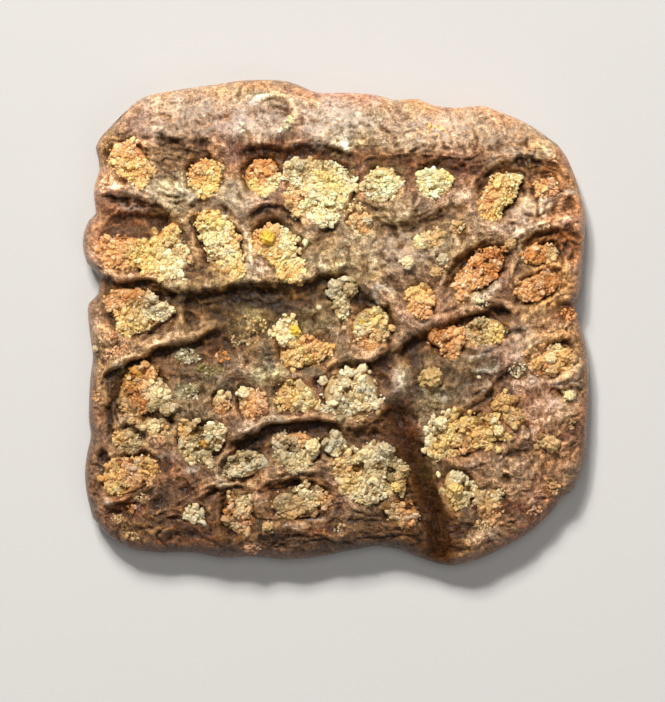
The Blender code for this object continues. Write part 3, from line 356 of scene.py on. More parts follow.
# Where the sand of each tone lies. A grain takes the tone of the nearest of its plug's spots. Some olive and
# grey spots on the shaded side of a plug are painted shade.
SPOTS = dict(
    A1=[("amber", 122, 156), ("gold", 134, 168), ("peach", 140, 152)],
    A2=[("gold", 206, 180), ("amber", 197, 170), ("yellow", 212, 186)],
    A3=[("rust", 249, 165), ("amber", 262, 171), ("yellow", 254, 187), ("rust", 268, 160),
        ("cream", 279, 186)],
    A4=[("olive", 316, 163), ("grey", 338, 163), ("pale", 345, 178), ("yellow", 328, 183), ("pale", 322, 200),
        ("cream", 310, 210), ("cream", 341, 205), ("amber", 298, 200), ("pale", 300, 185),
        ("olive", 304, 172)], A5=[("cream", 381, 178), ("pale", 385, 192), ("olive", 371, 190)],
    A6=[("cream", 429, 182), ("pale", 440, 188), ("yellow", 446, 178)],
    A7=[("gold", 502, 189), ("amber", 486, 200), ("yellow", 505, 210), ("gold", 492, 216),
        ("cream", 515, 181)], A8=[("amber", 540, 189), ("peach", 550, 184)],
    B1=[("amber", 108, 250), ("amber", 124, 244), ("yellow", 140, 262), ("yellow", 150, 250),
        ("cream", 172, 258), ("pale", 182, 266), ("gold", 170, 230), ("amber", 120, 262)],
    B2=[("yellow", 212, 222), ("cream", 218, 236), ("pale", 228, 250), ("yellow", 239, 263),
        ("gold", 204, 214), ("gold", 232, 242)],
    B3=[("amber", 264, 230), ("gold", 271, 246), ("cream", 288, 238), ("cream", 293, 257), ("gold", 296, 271),
        ("yellow", 281, 268)], B4=[("tan", 355, 222), ("amber", 363, 227)],
    B5=[("cream", 421, 242), ("tan", 436, 239)],
    B6=[("rust", 488, 257), ("rust", 475, 268), ("amber", 465, 283), ("rust", 493, 270), ("amber", 472, 277)],
    B7=[("rust", 541, 254), ("tan", 557, 252)],
    B8=[("amber", 532, 290), ("rust", 549, 283), ("amber", 524, 294)],
    C1=[("amber", 115, 296), ("rust", 133, 298), ("gold", 122, 312), ("khaki", 138, 309), ("grey", 157, 308),
        ("cream", 152, 322), ("yellow", 130, 327), ("peach", 117, 306)],
    C3=[("pale", 287, 320), ("yellow", 292, 328), ("cream", 284, 335), ("gold", 290, 350),
        ("yellow", 304, 352), ("gold", 323, 350), ("gold", 291, 361), ("amber", 312, 346)],
    C4=[("grey", 335, 287), ("olive", 351, 290), ("grey", 343, 298), ("olive", 342, 309),
        ("cream", 343, 318)],
    C5=[("olive", 364, 315), ("yellow", 373, 318), ("cream", 367, 330), ("amber", 369, 346),
        ("tan", 383, 331)], C6=[("gold", 420, 294), ("amber", 422, 311)],
    C7=[("rust", 438, 334), ("amber", 452, 347), ("amber", 460, 334)],
    C8=[("olive", 481, 325), ("tan", 476, 334), ("yellow", 493, 337)],
    C9=[("amber", 541, 351), ("gold", 561, 366), ("cream", 551, 357), ("amber", 539, 366)],
    C10=[("khaki", 431, 378)],
    D1=[("amber", 143, 377), ("rust", 134, 388), ("tan", 127, 400), ("pale", 157, 392), ("olive", 158, 404),
        ("rust", 145, 398), ("mustard", 134, 376)],
    D11=[("cream", 151, 427), ("tan", 168, 428), ("olive", 160, 418)],
    D12=[("gold", 121, 438), ("olive", 131, 443)], D4=[("cream", 221, 398), ("amber", 224, 409)],
    D5=[("cream", 243, 391), ("amber", 251, 399), ("amber", 247, 408), ("peach", 259, 410)],
    D6=[("gold", 286, 400), ("cream", 305, 397), ("yellow", 293, 389), ("cream", 298, 404),
        ("yellow", 312, 403)],
    D7=[("pale", 351, 379), ("pale", 334, 394), ("grey", 340, 406), ("cream", 361, 400), ("grey", 366, 388),
        ("pale", 371, 403)],
    E1=[("gold", 187, 430), ("olive", 199, 433), ("pale", 215, 435), ("cream", 191, 450),
        ("olive", 204, 450)],
    E2=[("pale", 242, 470), ("olive", 248, 454), ("grey", 256, 464), ("olive", 232, 464)],
    E3=[("amber", 300, 436), ("grey", 289, 449), ("cream", 306, 456), ("olive", 284, 459),
        ("cream", 314, 446)], E4=[("grey", 332, 441), ("cream", 338, 450)],
    E5=[("gold", 344, 468), ("cream", 358, 457), ("cream", 366, 478), ("pale", 371, 491), ("grey", 386, 449),
        ("khaki", 401, 479), ("olive", 391, 466), ("cream", 361, 500), ("pale", 374, 448),
        ("yellow", 352, 480)],
    E6=[("pale", 436, 420), ("pale", 431, 436), ("yellow", 450, 430), ("gold", 465, 434), ("gold", 480, 430),
        ("yellow", 470, 420), ("yellow", 489, 441), ("yellow", 440, 445), ("amber", 462, 447)],
    E7=[("gold", 503, 401), ("tan", 514, 417)], E8=[("tan", 548, 443)],
    F1=[("amber", 121, 480), ("peach", 128, 468), ("gold", 150, 468), ("amber", 139, 480),
        ("yellow", 118, 486), ("gold", 117, 470)], F3=[("pale", 199, 515)],
    F4=[("rust", 230, 511), ("cream", 241, 504), ("tan", 237, 526), ("peach", 243, 517)],
    F5=[("olive", 284, 498), ("tan", 300, 506), ("amber", 323, 505), ("cream", 311, 494), ("tan", 291, 511)],
    F7=[("tan", 395, 514), ("amber", 409, 515)],
    F8=[("pale", 457, 476), ("cream", 464, 483), ("yellow", 455, 493), ("cream", 461, 500),
        ("yellow", 450, 504)], F9=[("tan", 483, 497), ("amber", 492, 513), ("cream", 501, 503)],
)

# Single large grains: x, y, radius in squares, tone.
LARGE_GRAINS = [
    (299, 166, 5.5, "grey"), (288, 166, 3.5, "cream"), (367, 222, 4.5, "grey"), (407, 263, 6, "pale"),
    (442, 260, 6, "grey"), (435, 273, 5, "tan"), (510, 244, 6, "tan"), (173, 310, 4, "pale"),
    (96, 349, 3.5, "grey"), (335, 287, 6, "grey"), (350, 290, 6, "olive"), (284, 341, 5, "pale"),
    (319, 308, 2.5, "pale"), (344, 328, 2.2, "pale"), (157, 393, 6.5, "cream"), (154, 405, 7, "olive"),
    (168, 410, 5, "olive"), (133, 420, 4.5, "tan"), (144, 427, 3, "cream"), (156, 427, 5, "cream"),
    (244, 394, 4, "pale"), (205, 443, 5.5, "mustard"), (268, 238, 6.5, "lemon"), (362, 322, 3.5, "lemon"),
    (431, 378, 9.5, "khaki"), (549, 358, 5.5, "cream"), (552, 370, 6, "tan"), (534, 362, 6.5, "gold"),
    (563, 355, 6, "gold"), (571, 359, 5, "tan"), (557, 347, 4, "cream"), (569, 395, 5, "cream"),
    (478, 377, 1.6, "pale"), (296, 331, 5, "lemon"), (313, 446, 6.5, "cream"), (385, 448, 6, "grey"),
    (550, 443, 8, "tan"), (455, 488, 6.5, "yellow"), (457, 477, 6, "grey"), (268, 525, 4.5, "tan"),
    (498, 430, 5, "cream"), (440, 422, 6, "pale"), (396, 486, 5, "yellow"), (368, 500, 5, "olive"),
    (152, 257, 4, "yellow"),
]

# Thin smears and clusters of grains outside the plugs: x, y, half length, half width, turn, tone, cover.
SMEARS = [
    (107, 182, 8, 6, 40, "peach", 0.7), (288, 124, 12, 4, 48, "cream", 0.5),
    (116, 352, 12, 6, 20, "peach", 0.8), (516, 371, 8, 7, 0, "pale", 0.9), (568, 395, 8, 6, 0, "cream", 0.5),
    (97, 396, 5, 5, 0, "amber", 0.8), (571, 425, 4, 6, 0, "tan", 0.9), (143, 497, 8, 5, 0, "tan", 0.7),
    (338, 522, 6, 9, 0, "tan", 0.5), (533, 511, 8, 5, 30, "peach", 0.7), (252, 549, 8, 5, 0, "peach", 0.9),
    (568, 314, 9, 6, 0, "rust", 0.8), (187, 355, 12, 7, 0, "grey", 0.9), (211, 370, 13, 4, -10, "moss", 0.95),
    (192, 393, 10, 7, -35, "grey", 0.5), (245, 340, 16, 8, 0, "olive", 0.35),
    (222, 357, 7, 5, 0, "rust", 0.7), (115, 338, 20, 5, 10, "peach", 0.35), (480, 303, 7, 4, 0, "pale", 0.5),
    (456, 228, 8, 6, 0, "tan", 0.6), (407, 263, 9, 9, 0, "pale", 0.3), (190, 247, 6, 5, 0, "tan", 0.6),
    (552, 487, 7, 6, 0, "amber", 0.85), (480, 525, 7, 5, 0, "tan", 0.7), (120, 518, 7, 5, 0, "tan", 0.85),
    (131, 508, 9, 4, 0, "rust", 0.7), (133, 535, 6, 4, 0, "tan", 0.85), (268, 525, 7, 6, 0, "tan", 0.5),
    (160, 440, 6, 5, 0, "peach", 0.7), (254, 325, 14, 10, 0, "gold", 0.15),
    (245, 122, 12, 10, 0, "cream", 0.08), (433, 130, 10, 8, 0, "gold", 0.12),
]

# Stains and tints on the bone, and painted shade in folds, pockets and under lips and painted highlights on
# glossy lumps and ridges: x, y, half length, half width, turn, colour, strength.
STAINS_AND_PAINTED_LIGHT = [
    (336, 112, 270, 36, -3, "bc9474", 0.9), (300, 86, 200, 8, -2, "a87456", 0.6),
    (480, 110, 120, 10, -12, "bc8456", 0.5), (250, 120, 50, 26, 0, "c4a488", 0.5),
    (330, 125, 30, 30, 0, "d0b498", 0.6), (450, 133, 60, 18, 0, "c49c6c", 0.4),
    (283, 108, 11, 6, 10, "7c5448", 0.5), (262, 108, 9, 6, 0, "e4d4c4", 0.2),
    (252, 128, 12, 9, 0, "e0ccb4", 0.5), (150, 120, 40, 26, 0, "a87c60", 0.4),
    (208, 100, 40, 12, 0, "9c6c50", 0.4), (395, 118, 16, 22, 0, "a06c54", 0.4),
    (350, 160, 150, 10, 0, "7a4a30", 0.6), (262, 150, 30, 7, 0, "54240e", 0.6),
    (365, 180, 9, 26, 0, "7a4430", 0.7), (410, 178, 8, 24, 0, "845038", 0.6),
    (455, 172, 26, 9, 10, "5c2c18", 0.5), (345, 148, 17, 9, 0, "d0b494", 0.7),
    (100, 180, 26, 30, 0, "b0805e", 0.6), (108, 250, 30, 24, 0, "b0806a", 0.6),
    (128, 212, 42, 16, -6, "9a6440", 0.9), (160, 216, 13, 16, 0, "5e4228", 0.7),
    (178, 188, 28, 20, 0, "927a5e", 0.8), (220, 300, 120, 50, 0, "745836", 0.6),
    (330, 250, 90, 50, 0, "98805c", 0.6), (250, 262, 18, 32, 0, "bca084", 0.6),
    (200, 200, 60, 30, 0, "a88c6c", 0.4), (450, 230, 90, 40, 0, "a88868", 0.5),
    (560, 230, 40, 90, 0, "bc784a", 0.6), (535, 205, 24, 12, 10, "ccac90", 0.5),
    (572, 254, 10, 14, 0, "602c18", 0.4), (560, 360, 40, 120, 0, "b07a4a", 0.5),
    (520, 440, 70, 60, 0, "8e6240", 0.5), (545, 408, 40, 20, 10, "b08c6c", 0.4),
    (250, 316, 60, 30, 0, "604628", 0.7), (205, 300, 24, 16, 0, "40301a", 0.6),
    (430, 370, 60, 60, 0, "786044", 0.5), (140, 330, 60, 30, 0, "8a6848", 0.4),
    (108, 340, 22, 16, 0, "b08058", 0.5), (198, 395, 40, 34, 0, "74644a", 0.5),
    (186, 355, 24, 12, 0, "6c6c4c", 0.5), (222, 350, 22, 14, 0, "86542c", 0.6),
    (275, 372, 30, 14, 0, "8c7858", 0.4), (270, 420, 180, 50, 0, "5e4228", 0.5),
    (262, 425, 30, 14, 30, "8a7458", 0.4), (210, 470, 34, 18, 0, "78684c", 0.5),
    (150, 500, 90, 60, 0, "5c3010", 0.7), (205, 535, 80, 26, 0, "522c08", 0.85),
    (128, 509, 28, 11, 10, "5a2412", 0.8), (330, 530, 220, 36, 0, "482604", 0.85),
    (316, 531, 14, 9, 0, "7a4426", 0.5), (190, 513, 14, 7, 0, "64400c", 0.6),
    (420, 490, 30, 90, 12, "5c3a1c", 0.9), (432, 530, 14, 40, 8, "4c3018", 0.6),
    (400, 420, 16, 40, 0, "5a3216", 0.8), (404, 426, 3, 9, 0, "8c5428", 0.6),
    (417, 415, 7, 17, 0, "85705a", 0.7), (460, 545, 60, 20, 10, "643c14", 0.6),
    (540, 510, 40, 40, -40, "82583a", 0.6), (480, 485, 40, 50, 0, "5e4028", 0.4),
    (500, 468, 40, 16, 0, "a07c60", 0.5), (505, 512, 20, 10, 0, "54240c", 0.7),
    (551, 488, 7, 9, 0, "c07840", 0.6), (570, 436, 22, 9, 0, "54200c", 0.7),
    (498, 371, 8, 6, 0, "5c2010", 0.6), (435, 470, 26, 18, 0, "64583c", 0.5),
    (434, 398, 30, 14, 0, "6c5c40", 0.5), (455, 230, 12, 7, 0, "a8703c", 0.6),
    (372, 277, 10, 6, 0, "b08444", 0.5), (567, 312, 12, 9, 0, "98502c", 0.6),
    (112, 402, 10, 42, 0, "3c2410", 0.85), (102, 452, 9, 15, 0, "4a2414", 0.8),
    (578, 430, 12, 38, 0, "6e4226", 0.6), (262, 304, 44, 12, 0, "3e2a12", 0.8),
    (180, 305, 24, 12, -30, "3e2a16", 0.6), (272, 218, 32, 13, 0, "5a4028", 0.7),
    (260, 148, 30, 9, 0, "5a2c18", 0.6), (312, 149, 26, 8, 0, "4a2410", 0.7),
    (182, 144, 26, 7, -15, "5a3824", 0.7), (206, 151, 12, 8, -20, "4a2c16", 0.7),
    (190, 158, 20, 8, -30, "6a4a30", 0.5), (368, 301, 18, 11, -20, "2c1c0c", 0.8),
    (384, 292, 10, 6, -20, "c8b8a4", 0.5), (384, 338, 7, 18, 0, "3a2814", 0.6),
    (386, 360, 12, 8, 0, "3a2a16", 0.7), (344, 453, 7, 14, 10, "34220f", 0.9),
    (324, 480, 9, 14, 0, "46301a", 0.7), (298, 475, 32, 5, 5, "4a321c", 0.5),
    (254, 442, 24, 9, 25, "3c2812", 0.7), (300, 427, 36, 7, 0, "3c2612", 0.7),
    (449, 469, 9, 6, 0, "5a4028", 0.6), (186, 498, 16, 7, 0, "3a2412", 0.6),
    (160, 499, 11, 8, 0, "3c2614", 0.6), (546, 243, 24, 6, 10, "6a3c20", 0.6),
    (315, 322, 14, 12, 0, "a08a68", 0.5), (348, 252, 17, 12, 0, "b89a78", 0.5),
    (487, 294, 14, 7, 20, "b89a78", 0.5), (450, 201, 16, 12, 0, "ccac8a", 0.8),
    (519, 380, 18, 11, 0, "c4a488", 0.8), (262, 376, 22, 9, 0, "b49c74", 0.7),
    (541, 154, 17, 9, -25, "c89c78", 0.8), (487, 538, 20, 9, 15, "a8805e", 0.6),
    (150, 540, 60, 12, 0, "7c4a26", 0.6), (108, 490, 12, 20, 0, "6e4a30", 0.5),
    (250, 545, 60, 10, 0, "46280f", 0.6), (505, 508, 18, 10, 0, "5e2c12", 0.6),
    (540, 225, 30, 5, 15, "b08c6c", 0.5), (492, 500, 18, 10, 0, "7a4e28", 0.4),
    (480, 392, 26, 8, 25, "54402a", 0.5), (462, 360, 30, 6, 10, "5c482e", 0.5),
    (404, 400, 14, 16, 0, "4a3420", 0.7), (400, 380, 13, 17, 0, "948468", 0.7),
    (419, 380, 4, 22, 0, "2e2012", 0.7), (380, 366, 4, 16, 0, "2e2012", 0.7),
    (394, 403, 12, 5, 0, "34220f", 0.7), (408, 341, 12, 9, 0, "2e2414", 0.6),
    (212, 296, 16, 11, 0, "84604a", 0.7), (256, 322, 18, 16, 0, "a08a62", 0.7),
    (320, 320, 22, 22, 0, "9c8a6c", 0.6), (226, 340, 11, 20, 0, "54381f", 0.7),
    (262, 354, 20, 10, 0, "634626", 0.6), (206, 327, 14, 8, 30, "ac8a70", 0.6),
    (315, 377, 16, 8, 0, "5c5440", 0.6), (276, 308, 8, 8, 0, "42301a", 0.6),
    (430, 358, 16, 6, 0, "4a3a24", 0.6), (455, 395, 22, 8, 15, "5a4830", 0.5),
    (478, 354, 12, 4, 0, "a08c70", 0.5), (440, 548, 15, 12, 0, "4a2810", 0.7),
    (575, 300, 8, 14, 0, "8a4e2c", 0.5), (235, 335, 30, 12, 0, "6a4c2a", 0.4),
    (150, 331, 15, 8, 0, "b89a78", 0.7), (124, 368, 13, 5, 30, "ccb8a0", 0.7),
    (523, 434, 11, 9, 0, "b08e70", 0.7), (168, 412, 8, 8, 0, "a8987c", 0.6),
    (306, 524, 20, 6, 0, "8a6a50", 0.6), (450, 517, 8, 13, 0, "8a5c30", 0.6),
    (236, 481, 16, 6, 0, "9a8468", 0.6), (520, 200, 14, 12, 0, "c8a888", 0.5),
    (157, 301, 15, 8, 10, "2e2010", 0.6), (520, 328, 15, 7, 30, "3e2a18", 0.7),
    (356, 359, 18, 5, -10, "3a2a16", 0.7), (215, 120, 26, 15, 0, "cc9468", 0.5),
    (524, 145, 20, 12, -25, "c88a58", 0.5), (455, 122, 22, 10, 0, "c88a58", 0.4),
    (586, 440, 10, 60, 0, "b4703e", 0.6), (560, 508, 12, 40, -40, "a8683c", 0.6),
    (506, 546, 34, 9, 25, "a06a40", 0.5), (88, 330, 8, 60, 0, "b07a50", 0.4),
    (90, 260, 8, 40, 0, "b8805c", 0.4), (94, 440, 12, 66, 0, "5e4028", 0.6),
    (120, 532, 46, 18, 10, "54371c", 0.5), (200, 425, 22, 8, -10, "4e3a22", 0.5),
    (272, 352, 7, 15, 0, "3a2a16", 0.6), (305, 380, 10, 8, 0, "5c5440", 0.5),
    (225, 390, 12, 6, -15, "33240f", 0.7), (190, 392, 10, 9, 0, "767c5c", 0.5),
    (188, 355, 13, 8, 0, "74785a", 0.6), (440, 333, 10, 9, 0, "4a2410", 0.6),
    (470, 372, 34, 12, 10, "40301c", 0.5), (484, 364, 14, 4, 10, "8c8472", 0.6),
    (528, 450, 12, 10, 0, "4a2814", 0.6), (500, 455, 16, 6, 0, "4e3420", 0.6),
    (413, 360, 4, 14, 0, "2e2012", 0.6), (432, 322, 12, 5, -30, "33240f", 0.6),
    (196, 375, 22, 8, 0, "5a4428", 0.5), (240, 378, 26, 8, -10, "54402a", 0.4),
]

# Where the skin is dry and chalky, and painted highlights on glossy spots, in pale patches: x, y, half
# length, half width, turn, strength.
CHALK_AND_GLINTS = [
    (190, 120, 60, 26, 10, 0.5), (250, 118, 50, 24, 0, 0.7), (335, 122, 44, 28, 0, 0.8),
    (430, 132, 60, 22, 0, 0.7), (510, 145, 40, 20, -20, 0.4), (400, 250, 50, 24, 0, 0.4),
    (530, 210, 40, 20, 15, 0.4), (510, 345, 40, 20, 20, 0.3), (560, 380, 24, 40, 0, 0.5),
    (130, 200, 40, 14, 0, 0.4), (240, 205, 30, 20, 0, 0.4), (398, 392, 9, 4, 20, 0.5),
    (468, 362, 6, 3, 0, 0.6), (531, 432, 8, 3, 30, 0.8), (381, 296, 6, 8, 0, 1.0), (533, 434, 9, 4, 35, 1.0),
    (487, 361, 8, 4, 0, 0.9), (482, 385, 7, 5, 0, 0.9), (103, 499, 5, 4, 0, 0.9), (190, 467, 9, 4, 0, 0.7),
    (563, 375, 9, 3, 25, 0.8), (313, 523, 12, 3, 0, 0.6), (287, 525, 10, 3, 0, 0.6),
    (398, 380, 12, 15, 0, 0.2), (440, 400, 9, 6, 0, 0.5), (497, 289, 13, 5, 25, 0.5),
    (535, 208, 14, 9, 10, 0.4), (568, 196, 7, 4, 0, 0.7), (404, 264, 9, 9, 0, 0.6),
    (122, 369, 10, 4, 35, 0.7), (266, 424, 12, 3, 30, 0.3), (276, 420, 5, 4, 0, 0.5),
    (183, 198, 20, 9, -30, 0.25), (170, 452, 24, 8, 15, 0.4),
]

BONE_BROWN = "866244"       # the ground that the stains lie on
BRIGHT = (0.98, 1.04, 1.06)  # how much lighter red, green and blue of the stains and painted light show than as listed
STAIN_AND_LIGHT_WARP = ((1.2, 4.0, 50, 51),)  # how stains, painted shade and painted highlights stray, as with STRAYING
STAIN_AND_LIGHT_EDGE = (0.45, 1.15)   # shares of a stain's or painted patch's size between which it fades out
FACET_SHADE = 0.16          # painted shade: how much darker the facet is, as it faces the lamps
# Patches that lean to one hue or its opposite: mm across, and how much red, green and blue change.
PATCHES = ((5.0, (-0.05, 0.05, -0.05)), (1.7, (-0.07, 0.03, 0.2)))
DUST = 0.35                 # how much of a smear's cover is dust on the bone
DUST_EDGE = (0.5, 1.2)      # shares of the smear's size between which it fades out
DUST_TONE = 0.5             # how light the dust is against the sand

# Small flecks: dark specks, and light ones that are partly pale streaks of the skin and partly painted
# glints.
FLECK = 0.75                # how much they show
FLECK_DARK = (0.5, 0.4, 0.3)  # red, green and blue of the dark ones against the bone
GLINT_FLECK_LIGHT = (1.5, 1.5, 1.5)  # the same of the light ones, which are partly painted glints
GLINT_FLECK_ADDS = (0.025, 0.02, 0.014)  # what the light ones add
# Size in mm, how much longer than wide, and the marks of the noise that they begin and are full at.
FREE_FLECKS = (0.3, 1.9, (0.4, 0.7))
LINE_FLECKS = (0.3, 2.6, (0.25, 0.6))
FLECK_TURN = 25             # degrees, the direction of those that follow no line
FLECK_FOLLOW = 2.2          # mm from a fold or ridge over which they follow it
FLECK_REACH = 3.5           # mm from it where they stop following it

# How much darker or lighter red, green and blue are, and where: painted shade and painted light that follow
# the relief, partly dark patina in the hollows, and the worn edge.
HOLLOW_PAINTED_SHADE = (0.62, 0.8, 1.15)  # painted shade in small hollows, partly dark patina
RIDGE_PAINTED_LIGHT = (0.42, 0.46, 0.5)  # painted light on small ridges
HOLLOW_CELLS, DIMPLE_CELLS = 9, 3  # raster cells of blur that the two sizes of hollow are measured against
HOLLOW_FULL, DIMPLE_FULL = 0.5, 0.16  # mm of depth that counts as one in each size
DARKEST_HOLLOW = 2.2        # most that is counted below
LIGHTEST_RIDGE = 1.2        # the same above
SHADE_EDGE = (0.3, 2.0)     # mm from the plate's edge between which this begins
BASIN_PAINTED_SHADE = (0.4, 0.5, 0.68)  # painted shade for each mm below the bare level, and painted light above it
BASIN_CELLS = 5             # raster cells of blur in that measure
BASIN_RANGE = (-0.7, 1.6)   # mm, the range of it that counts
CREASE_PAINTED_SHADE = (0.6, 0.78, 1.15)  # painted shade at the bottom of pits and creases, partly dark patina
WALL_PAINTED_SHADE = 0.8             # painted shade on the bone in front of a plug of sand, where the pit's wall faces away from the light, against a crease's
FULL_SHADE = 1.3            # mm, depth of a fold that is fully dark
CREASE_POWERS = (2.4, 1.5)  # how sudden the dark ends on the steep and the gentle side
CREASE_REACH = 4            # widths of a fold, and 1 mm more, up to where its dark is worked out
CREASE_WIDER = 1.35         # width of the dark on the gentle side against the fold's, and how that varies
CREASE_VARIES = 0.5
CREASE_CELL = 1.9           # mm from one change to the next
WORN_EDGE = (0.3, 0.24, 0.16)  # lighter, on the worn edge in front
REAR_EDGE_PAINTED_SHADE = (0.2, 0.34, 0.5)  # painted shade, darker on the edge in the rear, which turns away from the light
REAR_SHADE, REAR_AT = -0.2, 24.0  # between those two: at the middle, and mm per unit
WORN_WIDTH = (0.4, 2.2)     # mm from the plate's edge between which the worn edge and the rear edge's painted shade end
WORN_WAVE, WORN_CELL = 0.5, 1.4  # mm that this varies, and mm from one change to the next

# Shares that the bone's material reads.
CHALK_WARP = ((1.2, 3.0, 52, 53),)  # how chalky patches stray, as with STRAYING
CHALK_EDGE = (0.4, 1.1)     # shares of a patch's size between which it fades out
CHALK_DEPTH = 0.25          # mm, depth of a hollow that has no chalk
VALLEY_MATT = 0.5           # how much less gloss and fine relief the smooth valley has
CREASE_MATT = 0.75          # the same of a crease
SCRATCHED = 0.6             # how much the scratches show
FACET_SCRATCHED = 0.4       # how much more on the facet
VALLEY_UNSCRATCHED = 0.15   # how much less in the valley


# ---------------------------------------------------------------- curves and noise, in mm

def plan_mm(points):
    """Plan points in mm, with y towards the front edge."""
    points = np.array(points, float)
    return np.stack([(points[:, 0] - PLAN_CENTRE[0]) * SQUARE, (PLAN_CENTRE[1] - points[:, 1]) * SQUARE], 1)


def curve_through(points, spacing):
    """Points about one spacing apart on a smooth curve through the given points."""
    p = np.vstack([2 * points[0] - points[1], points, 2 * points[-1] - points[-2]])
    out = []
    for a, b, c, d in zip(p, p[1:], p[2:], p[3:]):
        steps = max(1, round(float(np.hypot(*(c - b))) / spacing))
        for t in np.arange(steps) / steps:
            out.append(0.5 * (2 * b + (c - a) * t + (2 * a - 5 * b + 4 * c - d) * t ** 2
                              + (3 * b - a - 3 * c + d) * t ** 3))
    return np.array(out + [points[-1]])


def evenly(points, count):
    """The given number of points, equally far apart, on a chain of points."""
    run = np.concatenate([[0], np.cumsum(np.hypot(*np.diff(points, axis=0).T))])
    at = np.linspace(0, run[-1], count)
    return np.stack([np.interp(at, run, points[:, k]) for k in (0, 1)], 1)


def smooth_step(low, high, value):
    """0 up to the low mark, 1 from the high one, and a soft rise between them."""
    t = np.clip((value - low) / (high - low), 0, 1)
    return t * t * (3 - 2 * t)


def bell(distance, width):
    """1 at a distance of 0, and less on both sides."""
    return np.exp(-(distance / width) ** 2)


def noise(x, y, cell, seed):
    """Smooth noise between -1 and 1, with its hills about one cell (mm) apart. Each use has its own seed."""
    column, row = np.floor(x / cell).astype(np.int64), np.floor(y / cell).astype(np.int64)
    fx, fy = smooth_step(0, 1, x / cell - column), smooth_step(0, 1, y / cell - row)

    def corner(i, j):
        # Large odd numbers scramble the corner's place and the seed into 16 even bits.
        n = (i * 374761393 + j * 668265263 + seed * 974634777) & 0xFFFFFFFF
        n = ((n ^ (n >> 13)) * 1274126177) & 0xFFFFFFFF
        return ((n ^ (n >> 16)) & 0xFFFF) / 32767.5 - 1

    near = corner(column, row) * (1 - fx) + corner(column + 1, row) * fx
    far = corner(column, row + 1) * (1 - fx) + corner(column + 1, row + 1) * fx
    return near * (1 - fy) + far * fy


def ribbed(hills):
    """Noise turned into narrow ribs, which lie where it was 0."""
    return 1 - 2 * np.abs(hills)


def warped(x, y, layers):
    """Places moved by noise. A layer is mm of movement, mm between its hills, and a seed for x and for y."""
    wx, wy = x, y
    for amount, cell, x_seed, y_seed in layers:
        wx, wy = wx + amount * noise(x, y, cell, x_seed), wy + amount * noise(x, y, cell, y_seed)
    return wx, wy


def turned(x, y, degrees):
    c, s = math.cos(math.radians(degrees)), math.sin(math.radians(degrees))
    return x * c + y * s, y * c - x * s


def from_path(x, y, path):
    """Distance to a path, above 0 on its left, and the distance along it from the nearer end."""
    nearest, side, along = np.full(x.shape, 1e9), np.ones(x.shape), np.zeros(x.shape)
    run = 0.0
    for (x0, y0), (x1, y1) in zip(path, path[1:]):
        dx, dy = x1 - x0, y1 - y0
        length = math.hypot(dx, dy)
        t = np.clip(((x - x0) * dx + (y - y0) * dy) / length ** 2, 0, 1)
        distance = np.hypot(x - x0 - t * dx, y - y0 - t * dy)
        closer = distance < nearest
        nearest = np.where(closer, distance, nearest)
        side = np.where(closer, np.sign(dx * (y - y0) - dy * (x - x0) + 1e-12), side)
        along = np.where(closer, run + t * length, along)
        run += length
    return nearest * side, np.minimum(along, run - along)


def from_ellipse(x, y, cx, cy, half_length, half_width, turn):
    """0 in the middle of an ellipse of the plan, 1 on its edge."""
    (mx, my), = plan_mm([(cx, cy)])
    c, s = math.cos(math.radians(turn)), math.sin(math.radians(turn))
    u, v = (x - mx) * c + (y - my) * s, (y - my) * c - (x - mx) * s
    return np.hypot(u / (half_length * SQUARE), v / (half_width * SQUARE))


def patch(x, y, ellipse, full, none):
    """1 up to one share of an ellipse's size, 0 from another, and a soft fall between them."""
    return 1 - smooth_step(full, none, from_ellipse(x, y, *ellipse))


# ---------------------------------------------------------------- the plate's surface, in mm

SIDES = [curve_through(plan_mm(side), OUTLINE_STEP)
         for side in (FRONT_SIDE, RIGHT_SIDE, REAR_SIDE, LEFT_SIDE)]
OUTLINE = np.vstack([side[:-1] for side in SIDES] + [SIDES[0][:1]])
FACET_LINE = curve_through(plan_mm(FACET_EDGE), LONG_STEP)
VALLEY_LINE = curve_through(plan_mm(SMOOTH_VALLEY), LONG_STEP)


def near_box(x, y, low, high, reach):
    """Which places lie in a box or not far outside it."""
    return (x > low[0] - reach) & (x < high[0] + reach) & (y > low[1] - reach) & (y < high[1] + reach)


def near_line(x, y, points, reach):
    """Which places are near a line, with their distance to it and the distance to its nearer end."""
    path = curve_through(plan_mm(points), LINE_STEP)
    near = near_box(x, y, path.min(0), path.max(0), reach)
    return near, *from_path(x[near], y[near], path)


def faded(end):
    """1 along a line and less towards each of its ends."""
    return smooth_step(LINE_START, FOLD_END, end)


def line_relief(x, y, points, left_width, right_width, left_power=2.0, right_power=2.0):
    """1 along a line and less on each side, faded at its ends."""
    out = np.zeros(x.shape)
    near, distance, end = near_line(x, y, points, RELIEF_REACH * max(left_width, right_width))
    width = np.where(distance > 0, left_width, right_width)
    width = width * (1 + UNEVEN * noise(x[near], y[near], UNEVEN_CELL, 91))
    power = np.where(distance > 0, left_power, right_power)
    out[near] = np.exp(-(np.abs(distance) / width) ** power) * faded(end)
    return out


def on_facet(x, y, width):
    """1 on the smooth facet, 0 behind it. The change is one width (mm) wide."""
    return smooth_step(0, width, from_path(x, y, FACET_LINE)[0])


def bare_level(x, y):
    """Level of the bone's top without any relief: crown and facet."""
    beyond, _ = from_path(x, y, FACET_LINE)
    facet = smooth_step(*FACET_BRINK, beyond)
    crown = CROWN * (1 - np.clip(np.hypot(x, y) / CROWN_REACH, 0, 1) ** 2)
    return FIELD_LEVEL + crown - facet * (FACET_DROP + FACET_FALL * beyond)


